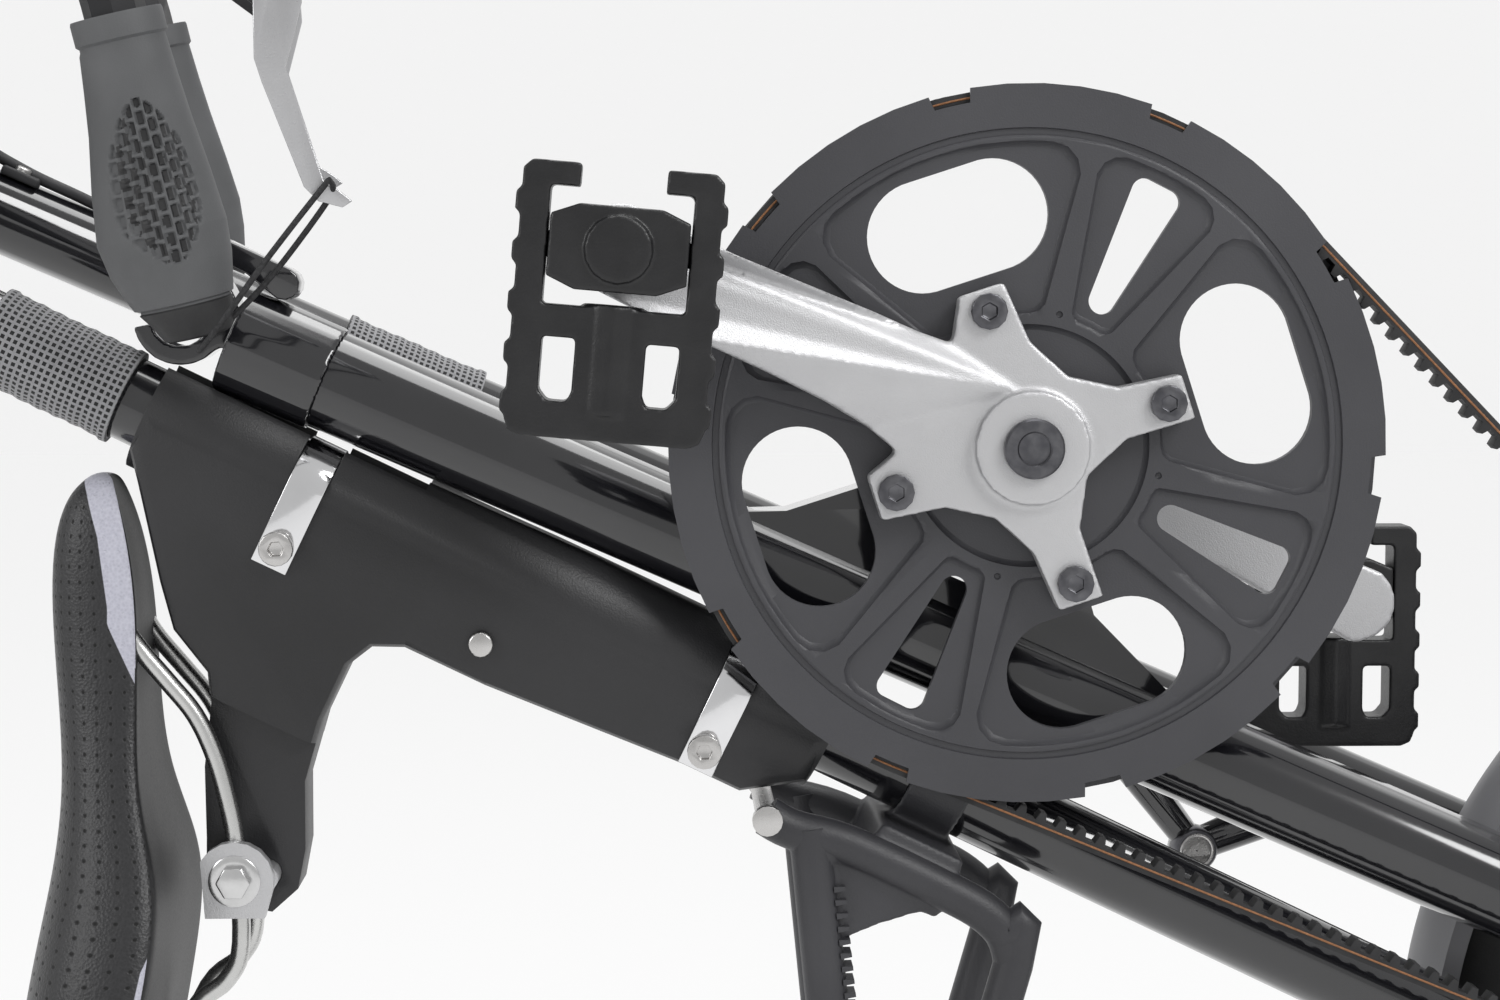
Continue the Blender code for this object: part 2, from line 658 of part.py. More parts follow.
def pedal(side_name, parent, out, tilt):
    """Out is -1 on the right and +1 on the left. The parent's origin is the stub's axis at the crank's outer face."""
    spin = frame(side_name + "_pedal_spin", parent, turn=(0.0, tilt, 0.0))
    hinge = out * pedal_hinge_out
    inner = pedal_half - rail_width
    pins = frame(side_name + "_pedal_hinge", spin, (0.0, hinge, 0.0))
    face = out * (pedal_hinge_out + 10.5)
    root = out * 1.0
    body = plate(side_name + "_pedal_block", [
        [(block_half_width, -block_half_height + 4.0), (block_half_width, block_half_height - 4.0), (14.0, block_half_height),
         (-14.0, block_half_height), (-block_half_width, block_half_height - 4.0), (-block_half_width, -block_half_height + 4.0),
         (-14.0, -block_half_height), (14.0, -block_half_height)]
    ], hinge - 10.0, hinge + 10.0, spin, paint=MATT_BLACK)
    join(body, cylinder(side_name + "_hub", 13.0, (0.0, root, 0.0), (0.0, hinge, 0.0), spin, 16))
    join(body, cylinder(side_name + "_round_cap", 11.5, (0.0, hinge, 0.0), (0.0, face + out * 1.5, 0.0), spin, 16))
    join(body, cylinder(side_name + "_pins", 4.0, (-inner - 5.0, 0.0, 0.0), (inner + 5.0, 0.0, 0.0), pins, 8))
    cut(body, cylinder(side_name + "_stub_way", stub_radius + running_gap, (0.0, -out * 6.0, 0.0), (0.0, out * (stub_length + 0.6), 0.0), spin, 16))
    window = [(inner - 1.0, -31.0), (inner - 1.0, -49.0), (inner - 4.0, -52.5), (13.5, -52.5), (12.0, -49.0), (12.0, -31.0)]
    other = [(-x, z) for x, z in reversed(window)]
    cage = plate(side_name + "_pedal_frame", [pedal_outline(), window, other], -pedal_thickness / 2, pedal_thickness / 2, pins, paint=MATT_BLACK)
    join(cage, cylinder(side_name + "_barrel", barrel_radius, (0.0, 0.0, -18.9), (0.0, 0.0, -56.0), pins, 12))
    cut(cage, cylinder(side_name + "_pin_way", 4.0 + running_gap, (-inner - 6.0, 0.0, 0.0), (inner + 6.0, 0.0, 0.0), pins, 8))
    return body, cage


right_crank_end = frame("right_crank_end", bracket, (crank_length * math.cos(rad(crank_angle)), crank_tip_face, crank_length * math.sin(rad(crank_angle))))
left_crank_end = frame("left_crank_end", bracket, (-crank_length * math.cos(rad(crank_angle)), left_crank_outer, -crank_length * math.sin(rad(crank_angle))))
pedal("right", right_crank_end, -1.0, right_pedal_tilt)
pedal("left", left_crank_end, 1.0, left_pedal_tilt)


# Bottom tube with the bottom bracket on its gusset, and the claw at its free end

barrel_inner = 15.3
barrel_outer = 25.0
barrel_from = pulley_back + 2.0
barrel_to = -33.0
claw_neck = 36.0
claw_root = claw_reach - claw_neck
bottom_tube = cylinder("bottom_tube", bottom_tube_radius, (-claw_root, 0.0, 0.0), (-16.0, 0.0, 0.0), bottom_line, ROUND_SIDES, GLOSS_BLACK)
swing_barrel = cylinder("swing_barrel", barrel_outer, (0.0, barrel_from, 0.0), (0.0, barrel_to, 0.0), rear_axle, ROUND_SIDES)
in_bottom = Matrix.Rotation(rad(-bottom_slope), 3, "Y") @ Vector((bracket_x - rear_axle_x, 0.0, bracket_z - wheel_radius))
shell_x, shell_z = in_bottom.x, in_bottom.z
shell_radius = 20.5
shell_from = pulley_back + 1.5 - bottom_tube_side
shell_to = left_crank_inner - 14.0 - bottom_tube_side
bracket_shell = cylinder("bracket_shell", shell_radius, (shell_x, shell_from, shell_z), (shell_x, -4.0 - bottom_tube_side, shell_z), bottom_line, ROUND_SIDES)
gusset_outline = (
    [(shell_x - 104.0, 8.0), (shell_x - 70.0, 24.0)]
    + around(shell_radius + 1.0, 215.0, -25.0, 12, (shell_x, shell_z))
    + [(shell_x + 52.0, 34.0), (shell_x + 106.0, 12.0), (shell_x + 106.0, 8.0)]
)
gusset_window = [(shell_x - 24.0, 26.0), (shell_x + 30.0, 26.0), (shell_x + 14.0, 50.0), (shell_x - 14.0, 50.0)]
gusset = plate("gusset", [gusset_outline, gusset_window], -11.0, 11.0, bottom_line)
join(bottom_tube, swing_barrel, gusset, bracket_shell)
cut(
    bottom_tube,
    cylinder("swing_way", barrel_inner, (0.0, barrel_from - 9.0, 0.0), (0.0, barrel_to + 9.0, 0.0), rear_axle, ROUND_SIDES),
    cylinder("spindle_bore", spindle_radius + running_gap, (shell_x, shell_from - 9.0, shell_z), (shell_x, 90.0, shell_z), bottom_line, ROUND_SIDES),
)

jaw_outer = 22.0
jaw_lower = 17.5
jaw_inner = ball_radius + 0.6
claw_outline = (
    []
    + around(jaw_outer, 145.0, 0.0, 10, (-claw_reach, 0.0))
    + around(jaw_lower, -20.0, -145.0, 8, (-claw_reach, 0.0))
    + around(jaw_inner, -145.0, 145.0, 12, (-claw_reach, 0.0))
)
claw = plate("claw", [claw_outline], -10.0, 10.0, bottom_line, paint=GLOSS_BLACK)
join(claw, cylinder("claw_socket", bottom_tube_radius + 1.5, (-claw_root - 16.0, 0.0, 0.0), (-claw_root + 22.0, 0.0, 0.0), bottom_line, ROUND_SIDES))
cut(claw, cylinder("claw_way", bottom_tube_radius + gap, (-claw_root - gap, 0.0, 0.0), (-claw_root + 40.0, 0.0, 0.0), bottom_line, ROUND_SIDES))
lever_pivot = frame("claw_lever_pivot", bottom_line, (-claw_root - 6.0, 0.0, jaw_outer + 4.8))
claw_lever = plate("claw_lever", [[(-44.0, 3.0), (-40.0, 7.0), (0.0, 6.0)] + around(6.0, 90.0, -90.0, 6) + [(-14.0, -2.0), (-42.0, -1.0)]], -9.0, 9.0, lever_pivot, paint=GLOSS_BLACK)


# Seat tube with its two end castings

seat_low = 12.0
seat_high = 895.0
seat_tube = cylinder("seat_tube", seat_tube_radius, (-seat_high, 0.0, -seat_tube_drop), (-seat_low, 0.0, -seat_tube_drop), seat_line, ROUND_SIDES, GLOSS_BLACK)

cheek_near = -32.6
cheek_far = -23.0
rear_lug = plate(
    "rear_lug",
    [around(27.0, 118.0, -42.0, 12) + around(21.0, -42.0, -138.0, 6, (-28.0, -seat_tube_drop)) + [(-78.0, -seat_tube_drop - 6.0), (-78.0, -seat_tube_drop + 8.0), (-40.0, -18.0)]],
    cheek_near - seat_tube_side,
    cheek_far - seat_tube_side,
    seat_line,
    paint=GLOSS_BLACK,
)
join(
    rear_lug,
    cylinder("seat_socket", seat_tube_radius + 3.5, (-86.0, 0.0, -seat_tube_drop), (-6.0, 0.0, -seat_tube_drop), seat_line, ROUND_SIDES),
    cylinder("bearing_house", barrel_inner - running_gap, (0.0, barrel_from - 0.6, 0.0), (0.0, cheek_far - 1.0, 0.0), rear_axle, ROUND_SIDES),
)
cut(
    rear_lug,
    cylinder("seat_way", seat_tube_radius + gap, (-120.0, 0.0, -seat_tube_drop), (-seat_low + gap, 0.0, -seat_tube_drop), seat_line, ROUND_SIDES),
    cylinder("axle_way", axle_radius + running_gap, (0.0, -99.0, 0.0), (0.0, 9.0, 0.0), rear_axle, ROUND_SIDES),
)

in_seat = Matrix.Rotation(rad(-seat_slope), 3, "Y") @ Vector((-top_back, 0.0, top_rise))
top_x, top_z = in_seat.x, in_seat.z
pin_radius = 8.0
head_half = 27.0
head_radius = 23.0
top_lug = cylinder("top_lug", seat_tube_radius + 3.5, (top_x - 24.0, 0.0, -seat_tube_drop), (top_x + 46.0, 0.0, -seat_tube_drop), seat_line, ROUND_SIDES, GLOSS_BLACK)
lug_bridge = plate("lug_bridge", [
    around(24.0, 150.0, 20.0, 8, (top_x, top_z))
    + [(top_x + 40.0, -seat_tube_drop + 12.0), (top_x + 40.0, -seat_tube_drop - 8.0), (top_x - 20.0, -seat_tube_drop - 8.0)]
], -12.0, 12.0, seat_line)
lug_boss = cylinder("lug_boss", 24.0, (0.0, 0.0, 104.0), (0.0, 0.0, head_half + 1.0), fold_pin, ROUND_SIDES)
join(top_lug, lug_bridge, lug_boss)
cut(
    top_lug,
    cylinder("top_way", seat_tube_radius + gap, (-seat_high - gap, 0.0, -seat_tube_drop), (top_x + 90.0, 0.0, -seat_tube_drop), seat_line, ROUND_SIDES),
    cylinder("pin_way", pin_radius + gap, (0.0, 0.0, 62.0), (0.0, 0.0, 0.0), fold_pin, 20),
)
top_pin = cylinder("top_pin", pin_radius, (0.0, 0.0, 60.0), (0.0, 0.0, -head_half - 2.0), fold_pin, 20, STEEL)
join(top_pin, cylinder("pin_head", 14.0, (0.0, 0.0, -head_half - 1.0), (0.0, 0.0, -head_half - 7.0), fold_pin, ROUND_SIDES))


# Seat moulding: a sleeve on the seat tube with a keel and the arm that holds the saddle

moulding_left = -743.0
moulding_right = -462.0
moulding_half = 20.0
moulding_round = 23.0
keel_low = -98.0
seat_moulding = plate(
    "seat_moulding", [oval(moulding_half, moulding_round, 0.0, 345.0, 23)], -moulding_right, -moulding_left, seat_line, (0.0, 0.0, -seat_tube_drop), (0.0, 0.0, 90.0), MOULDING
)
keel_outline = [
    (moulding_left, -64.0), (moulding_left, -80.0), (-735.0, -90.0), (-712.0, -120.0), (-700.0, -134.0), (-682.0, -143.0), (-676.0, -153.0),
    (-668.0, -176.0), (-656.0, -200.0), (-650.0, -213.0), (-637.0, -219.0), (-622.0, -215.0), (-617.0, -203.0), (-621.0, -188.0), (-632.0, -165.0),
    (-636.0, -141.0),
    (-636.0, -118.0), (-631.0, -108.0), (-620.0, -103.0), (-587.0, -103.0), (-508.0, keel_low), (-484.0, keel_low), (-463.0, -84.0), (moulding_right, -64.0),
]
keel = bevel(plate("keel", [keel_outline], -moulding_half, moulding_half, seat_line), 5.0, 2, 60.0)
arm_trim = [(-760.0, -150.0), (-600.0, -150.0), (-600.0, -260.0), (-760.0, -260.0)]
near_trim = plate("near_trim", [arm_trim], -40.0, -13.5, seat_line)
far_trim = plate("far_trim", [arm_trim], 13.5, 40.0, seat_line)
cut(keel, near_trim, far_trim)
join(seat_moulding, keel)
cut(
    seat_moulding,
    cylinder("tube_way", seat_tube_radius + gap, (moulding_left - 9.0, 0.0, -seat_tube_drop), (moulding_right + 9.0, 0.0, -seat_tube_drop), seat_line, ROUND_SIDES),
    cylinder("fold_groove", bottom_tube_radius + 2.1, (-claw_root - 60.0, 0.0, 0.0), (-claw_root + 400.0, 0.0, 0.0), bottom_line, ROUND_SIDES),
    box("open_top", (110.0, 24.0, 40.0), seat_line, (moulding_left + 50.0, 0.0, -seat_tube_drop + 28.0)),
)

band_width = 14.0
band_thickness = 1.1
band_bolt_z = -89.0
band_spots = (moulding_left + 65.0, moulding_right - 41.0)


def band(name, spot):
    """A strap bent over the moulding, with both tabs down beside the keel."""
    inner, outer = moulding_half + gap, moulding_half + gap + band_thickness
    rise = seat_tube_radius + 0.5 - inner
    low = band_bolt_z - 8.0 + seat_tube_drop
    over = oval(outer, outer + rise, 0.0, 180.0, 12)
    under = oval(inner, inner + rise, 180.0, 0.0, 12)
    bent = over + [(-outer, low), (-inner, low)] + under + [(inner, low), (outer, low)]
    around_band = [(-outer - 9.0, 0.0), (-outer - 9.0, 40.0), (outer + 9.0, 40.0), (outer + 9.0, 0.0)] + oval(inner - gap, inner - gap + rise, 0.0, 180.0, 12)
    cut(seat_moulding, plate("band_recess", [around_band], -band_width / 2 - gap, band_width / 2 + gap, seat_line, (spot, 0.0, -seat_tube_drop), (0.0, 0.0, 90.0)))
    made = plate(name, [bent], -band_width / 2, band_width / 2, seat_line, (spot, 0.0, -seat_tube_drop), (0.0, 0.0, 90.0), CHROME)
    bolt = cylinder(name + "_bolt", 6.4, (spot, -outer - gap, band_bolt_z), (spot, -outer - 5.5, band_bolt_z), seat_line, 16, STEEL)
    cut(bolt, cylinder("socket_way", 3.0, (spot, -outer - 9.0, band_bolt_z), (spot, -outer - 2.5, band_bolt_z), seat_line, 6))
    return made, bolt


band("upper_band", band_spots[0])
band("lower_band", band_spots[1])
moulding_bolt = cylinder("moulding_bolt", 4.7, (-595.0, -moulding_half - gap, -89.0), (-595.0, -moulding_half - 3.5, -89.0), seat_line, 16, STEEL)


# Saddle on its rails. Its frame has X towards the nose and Z up from the rails

saddle_frame = frame("saddle_frame", bracket, (-330.0, seat_tube_side, -150.0), (0.0, -90.0, 0.0))
saddle_sections = [
    # along, half width, top, skirt
    (-137.0, 34.0, 38.0, 22.0),
    (-128.0, 58.0, 46.0, 8.0),
    (-104.0, 74.0, 49.0, -2.0),
    (-70.0, 76.0, 44.0, -8.0),
    (-35.0, 67.0, 38.0, -15.0),
    (-8.0, 54.0, 32.0, -15.0),
    (22.0, 40.0, 28.0, -5.0),
    (55.0, 29.0, 30.5, 0.0),
    (90.0, 23.0, 33.5, 6.0),
    (116.0, 20.0, 32.0, 10.0),
    (132.0, 14.0, 26.0, 12.0),
    (139.0, 6.0, 17.0, 12.0),
]
saddle_shape = bmesh.new()
rows = []
for along, half, top, skirt in saddle_sections:
    crown = [(1.0, 0.0), (1.02, 0.35), (0.93, 0.72), (0.62, 0.95), (0.22, 0.97)]
    right = [(half * across, skirt + (top - skirt) * up) for across, up in crown]
    side = right + [(-y, z) for y, z in reversed(right)]
    under = [(-half * 0.8, skirt + 3.0), (half * 0.8, skirt + 3.0)]
    rows.append([saddle_shape.verts.new(Vector((along, y, z)) * MM) for y, z in side + under])
for low_row, high_row in zip(rows, rows[1:]):
    count = len(low_row)
    for i in range(count):
        j = (i + 1) % count
        saddle_shape.faces.new((low_row[i], low_row[j], high_row[j], high_row[i]))
saddle_shape.faces.new(list(reversed(rows[0])))
saddle_shape.faces.new(rows[-1])
saddle_pad = place(from_bmesh("saddle_pad", saddle_shape), saddle_frame, paint=LEATHER)
soft = saddle_pad.modifiers.new("soft", "SUBSURF")
soft.levels = 1
soft.render_levels = 1

rail_spacing = 20.0
rail_radius = 3.5
rail_side = [(-98.0, -3.8), (-62.0, -20.0), (-50.0, -33.0), (-36.0, -38.5), (0.0, -37.0), (20.0, -33.5), (36.0, -29.0), (50.0, -22.5), (62.0, -13.0), (74.0, -3.0), (82.0, 2.0)]
near_rail = [(x, -rail_spacing, z) for x, z in rail_side]
far_rail = [(x, rail_spacing, z) for x, z in reversed(rail_side)]
nose_bend = [(90.0, -12.0, 4.0), (90.0, 12.0, 4.0)]
saddle_rails = pipe("saddle_rails", near_rail + nose_bend + far_rail, rail_radius, saddle_frame, CHROME, 2)

clamp_x = -11.0
clamp_z = -37.5
plate_from = rail_spacing + rail_radius + 0.4
plate_outline = around(14.5, 60.0, -100.0, 8, (clamp_x, clamp_z)) + [(clamp_x - 14.0, clamp_z - 11.0), (clamp_x - 14.0, clamp_z + 11.0)]
saddle_clamp = plate("saddle_clamp", [plate_outline], -plate_from - 5.0, -plate_from, saddle_frame, paint=SATIN)
join(
    saddle_clamp,
    plate("far_plate", [plate_outline], plate_from, plate_from + 5.0, saddle_frame),
    cylinder("clamp_rod", 5.0, (clamp_x, -plate_from - 1.0, clamp_z - 10.5), (clamp_x, plate_from + 1.0, clamp_z - 10.5), saddle_frame, 16),
)
cut(seat_moulding, cylinder("clamp_way", 5.0 + gap, (clamp_x, -60.0, clamp_z - 10.5), (clamp_x, 60.0, clamp_z - 10.5), saddle_frame, 16))
clamp_bolt = cylinder("clamp_bolt", 6.5, (clamp_x, -plate_from - 5.0 - gap, clamp_z), (clamp_x, -plate_from - 10.0, clamp_z), saddle_frame, 6, STEEL)


# Rack on the seat tube: two side frames, cross bars, a gusset on each side and the band round the tube.
# Its path runs in the seat line's X and Z

rack_half = 36.0
rack_radius = 7.5
rack_head = (-473.0, -99.0)
rack_high = -95.8
rack_corner = -370.0
rack_bolt_radius = 4.0
strut_back = 0.1585
platform_x = 0.523
platform_z = -0.852
band_outer = 3.0
rack_middle = frame("rack_middle", seat_line)


def on_platform(distance):
    return (rack_head[0] + 20.0 + platform_x * distance, -102.2 + platform_z * distance)


leg_radius = rack_radius + 0.5
floor_x = math.sin(rad(seat_slope))
floor_z = math.cos(rad(seat_slope))
leg_lean = platform_x * floor_z + platform_z * floor_x
floor_drop = wheel_radius - leg_radius * leg_lean
start_height = on_platform(0.0)[1] * floor_z - on_platform(0.0)[0] * floor_x
platform_fall = -(platform_z * floor_z - platform_x * floor_x)
platform_length = (start_height + floor_drop) / platform_fall
strut_start = (rack_corner + 4.0, -110.0)
strut_rate = math.hypot(strut_back, 1.0)
meet = 223.0
side_path = [rack_head, (-462.0, -99.5), (-440.0, rack_high), (-400.0, rack_high), (-384.0, -97.0), (rack_corner - 4.0, -101.0), strut_start]
rack = None
for side in (-1.0, 1.0):
    y = side * rack_half
    strut = pipe("rack_strut", [(x, y, z) for x, z in side_path + [on_platform(meet)]], rack_radius, rack_middle, RACK_GREY)
    leg = pipe("rack_leg", [(x, y, z) for x, z in ((-457.0, -96.0), on_platform(0.0), on_platform(platform_length))], leg_radius, rack_middle, RACK_GREY)
    web_plate = plate("rack_web", [[(-458.0, -98.0), (-396.0, -98.0), (-418.0, -118.0), (-434.0, -136.0), on_platform(34.0)]], y - 2.0, y + 2.0, rack_middle)
    if rack is None:
        rack = strut
        rack.name = "rack"
    else:
        join(rack, strut)
    join(rack, leg, web_plate)
for name, distance, radius in (("rack_bar_upper", 92.0, 5.0), ("rack_bar_lower", 180.0, 5.0), ("rack_foot", platform_length - 9.0, rack_radius - 0.9)):
    x, z = on_platform(distance)
    join(rack, cylinder(name, radius, (x, -rack_half, z), (x, rack_half, z), rack_middle, 12))
cradle_length = 34.0
cradle_x = -416.0
cradle = box("cradle", (cradle_length, 2 * rack_half, 24.0), rack_middle, (cradle_x, 0.0, -seat_tube_drop - seat_tube_radius - 14.0))
band_ring = cylinder("rack_band", seat_tube_radius + band_outer, (cradle_x - 12.0, 0.0, -seat_tube_drop), (cradle_x + 12.0, 0.0, -seat_tube_drop), rack_middle, ROUND_SIDES)
join(rack, cradle, band_ring)
cut(
    rack,
    cylinder("band_way", seat_tube_radius + gap, (cradle_x - 60.0, 0.0, -seat_tube_drop), (cradle_x + 60.0, 0.0, -seat_tube_drop), rack_middle, ROUND_SIDES),
    cylinder("head_way", rack_bolt_radius + gap, (rack_head[0], -60.0, rack_head[1]), (rack_head[0], 60.0, rack_head[1]), rack_middle, 12),
)
rack_bolt = cylinder("rack_bolt", 5.6, (rack_head[0], -rack_half - rack_radius - 4.5, rack_head[1]), (rack_head[0], -rack_half - rack_radius - gap, rack_head[1]), rack_middle, 16, STEEL)
join(
    rack_bolt,
    cylinder("rack_shank", rack_bolt_radius, (rack_head[0], -rack_half - rack_radius - 1.5, rack_head[1]), (rack_head[0], rack_half + rack_radius + 2.0, rack_head[1]), rack_middle, 12),
    cylinder("rack_nut", 6.5, (rack_head[0], rack_half + rack_radius + gap, rack_head[1]), (rack_head[0], rack_half + rack_radius + 5.0, rack_head[1]), rack_middle, 6),
)

strap_width = 55.0
strap_end = moulding_left - 11.0
tube_strap = sleeve("tube_strap", seat_tube_radius + gap, seat_tube_radius + 2.6, (strap_end - strap_width, 0.0, -seat_tube_drop), (strap_end, 0.0, -seat_tube_drop), seat_line, 20, STRAP)


# Rear wheel with its live spindle, disc and caliper, and the mudguard

tyre_height = 33.0
rim_bed = wheel_radius - tyre_height - 1.5
wheel_steps = 28
disc_radius = 70.0
hub_radius = 22.0
disc_boss = 14.0
spoke_count = 5


def wheel(name, parent, disc_side, bore):
    """Rim, spokes and hub in one casting, with the disc's boss towards disc_side along Y, then the tyre and the disc."""
    w = tyre_width / 2
    flange = rim_bed + 5.0
    rim_profile = [(flange, w - 4.0), (flange, w - 5.3), (rim_bed, w - 6.0), (rim_bed, -w + 6.0), (flange, -w + 5.3), (flange, -w + 4.0), (rim_bed - 13.0, -w + 11.0), (rim_bed - 13.0, w - 11.0)]
    cast = turned(name + "_wheel", rim_profile, wheel_steps, parent, paint=GLOSS_BLACK)
    spoke_y = -disc_side * 8.0
    star = []
    for i in range(spoke_count):
        turn = rad(90.0 + 360.0 * i / spoke_count)
        side_points = [(20.0, -11.0), (60.0, -8.0), (rim_bed - 9.0, -13.0), (rim_bed - 9.0, 13.0), (60.0, 8.0), (20.0, 11.0)]
        star += [(x * math.cos(turn) - z * math.sin(turn), x * math.sin(turn) + z * math.cos(turn)) for x, z in side_points]
    join(cast, plate("spokes", [star], spoke_y - 4.0, spoke_y + 4.0, parent))
    join(
        cast,
        cylinder("hub", hub_radius, (0.0, disc_side * 9.7, 0.0), (0.0, -disc_side * 20.0, 0.0), parent, ROUND_SIDES),
        cylinder("disc_boss", disc_boss, (0.0, disc_side * 20.0, 0.0), (0.0, 0.0, 0.0), parent, 18),
    )
    cut(cast, cylinder("hub_way", bore, (0.0, -40.0, 0.0), (0.0, 40.0, 0.0), parent, 18))
    seat = rim_bed + 1.6
    crown = [(flange + 0.4, w - 3.6), (wheel_radius - 18.0, w), (wheel_radius - 7.0, w - 3.0), (wheel_radius, w - 13.5)]
    bead = [(seat, w - 6.4), (flange + 0.4, w - 6.0)]
    tyre_profile = bead + crown + [(r, -h) for r, h in reversed(bead + crown)]
    turned(name + "_tyre", tyre_profile, wheel_steps, parent, paint=RUBBER)
    holes = []
    for i in range(5):
        mid = 72.0 * i + 18.0
        holes.append(around(56.0, mid - 24.0, mid + 24.0, 3) + around(27.0, mid + 12.0, mid - 12.0, 2))
    disc = plate(name + "_disc", [ring(disc_radius, 30), ring(disc_boss + gap, 18)] + holes, disc_side * 10.0, disc_side * 12.0, parent, paint=STEEL)
    return cast, disc


def caliper(name, parent, out_from, out_to, slot_at):
    """The parent's X points from the hub to the caliper. It is open towards the hub, round the disc's edge."""
    thick = abs(out_to - out_from)
    body = bevel(box(name, (38.0, thick, 42.0), parent, (disc_radius - 3.0, (out_from + out_to) / 2, 0.0), paint=MATT_BLACK), 4.0, 2)
    slot = box(name + "_slot", (50.0, 5.0, 60.0), parent, (disc_radius - 22.0, slot_at, 0.0))
    cut(body, slot)
    return body


wheel("rear", rear_axle, -1.0, axle_radius + gap)
spindle_near = belt_middle - belt_width / 2 - 7.5
rear_spindle = cylinder("rear_spindle", axle_radius, (0.0, spindle_near, 0.0), (0.0, 24.0, 0.0), rear_axle, ROUND_SIDES, STEEL)
join(
    rear_spindle,
    cylinder("rear_nut", 14.0, (0.0, spindle_near, 0.0), (0.0, spindle_near + 6.0, 0.0), rear_axle, ROUND_SIDES),
    cylinder("rear_bolt", 14.0, (0.0, 20.0 + gap, 0.0), (0.0, 26.0, 0.0), rear_axle, 6),
)
rear_arm = frame("rear_caliper_arm", seat_line, (0.0, -seat_tube_side, 0.0), (0.0, 141.0, 0.0))
caliper("rear_caliper", rear_arm, cheek_far + gap, -3.0, -11.0)

guard_clearance = 9.0
guard_radius = wheel_radius + guard_clearance
guard_half = 26.0
guard_wall = 2.0
guard_start = 96.0
guard_end = 245.0
guard_outer = [(guard_radius - 12.0, guard_half), (guard_radius - 5.0, guard_half - 1.0), (guard_radius - 2.0, guard_half - 12.0), (guard_radius, 0.0)]
guard_inner = [(guard_radius - guard_wall, 0.0), (guard_radius - 2.0 - guard_wall, guard_half - 12.5), (guard_radius - 5.5 - guard_wall, guard_half - 1.0 - guard_wall), (guard_radius - 12.0, guard_half - guard_wall)]
guard_profile = guard_outer + [(r, -h) for r, h in reversed(guard_outer[:-1])] + [(r, -h) for r, h in reversed(guard_inner[1:])] + guard_inner
rear_mudguard = turned("rear_mudguard", guard_profile, 40, rear_axle, paint=MUDGUARD_GREY)
keep_away = around(guard_radius + 60.0, guard_end, guard_start + 360.0, 8)
cut(rear_mudguard, plate("guard_trim", [[(0.0, 0.0)] + keep_away], -40.0, 40.0, rear_axle))
stay_x = -math.sqrt((guard_radius - 8.5) ** 2 - seat_tube_drop**2)
stay_from = seat_tube_radius + gap
stay_to = -seat_tube_side - guard_half + 2.0
join(rear_mudguard, box("guard_stay", (16.0, stay_to - stay_from, 12.0), seat_line, (stay_x, (stay_from + stay_to) / 2, -seat_tube_drop)))


# Front tube with its head barrel, hub lug and stub axle, and the front wheel

axle_stub = 8.0
lug_radius = 20.0
hub_lug_out = 6.0
front_tube = cylinder("front_tube", front_tube_radius, (-front_tube_top, 0.0, 0.0), (hub_station, 0.0, 0.0), front_line, ROUND_SIDES, GLOSS_BLACK)
head_barrel = cylinder("head_barrel", head_radius, (0.0, 0.0, -head_half), (0.0, 0.0, head_half), fold_pin, ROUND_SIDES)
hub_lug = cylinder("hub_lug", lug_radius, (hub_station - 26.0, 0.0, 1.0), (hub_station + 12.0, 0.0, 1.0), front_line, ROUND_SIDES)
lug_eye = cylinder("lug_eye", 16.0, (hub_station, 18.0, front_rake), (hub_station, -lug_radius - 1.0, front_rake), front_line, ROUND_SIDES)
stub = cylinder("stub_axle", axle_stub, (hub_station, 0.0, front_rake), (hub_station, front_offset - 24.0, front_rake), front_line, ROUND_SIDES)
join(front_tube, head_barrel, hub_lug, lug_eye, stub)
cut(front_tube, cylinder("head_way", pin_radius + running_gap, (0.0, 0.0, -head_half - 9.0), (0.0, 0.0, head_half + 9.0), fold_pin, 20))
wheel("front", front_hub, 1.0, axle_stub + running_gap)
front_nut = cylinder("front_nut", 14.0, (hub_station, front_offset - 20.0 - 0.6, front_rake), (hub_station, front_offset - 27.0, front_rake), front_line, 14, STEEL)
cut(front_nut, cylinder("nut_way", axle_stub + gap, (hub_station, front_offset - 10.0, front_rake), (hub_station, front_offset - 24.0 - gap, front_rake), front_line, 14))
front_arm = frame("front_caliper_arm", front_hub, turn=(0.0, 172.0, 0.0))
caliper("front_caliper", front_arm, -front_offset - front_tube_radius - gap, 4.0, 11.0)

ball_at = (ball_station, ball_side, -ball_drop)
ball_bracket = pipe("ball_bracket", [(533.0, ball_side, -8.0), (ball_station - 4.0, ball_side, -ball_drop + 3.0)], 6.5, front_line, GLOSS_BLACK)
bracket_leg = pipe("bracket_leg", [(643.0, ball_side, -8.0), (ball_station + 4.0, ball_side, -ball_drop + 3.0)], 7.5, front_line)
ball_shape = bmesh.new()
bmesh.ops.create_uvsphere(ball_shape, u_segments=14, v_segments=8, radius=ball_radius * MM)
ball = place(from_bmesh("ball", ball_shape), front_line, ball_at)
join(ball_bracket, bracket_leg, ball)
cut(ball_bracket, cylinder("bracket_way", front_tube_radius + gap, (430.0, 0.0, 0.0), (730.0, 0.0, 0.0), front_line, ROUND_SIDES))

front_strap = sleeve("front_strap", front_tube_radius + gap, front_tube_radius + 2.4, (178.0, 0.0, 0.0), (238.0, 0.0, 0.0), front_line, 20, STRAP)


# Stem and the two folding halves of the handlebar

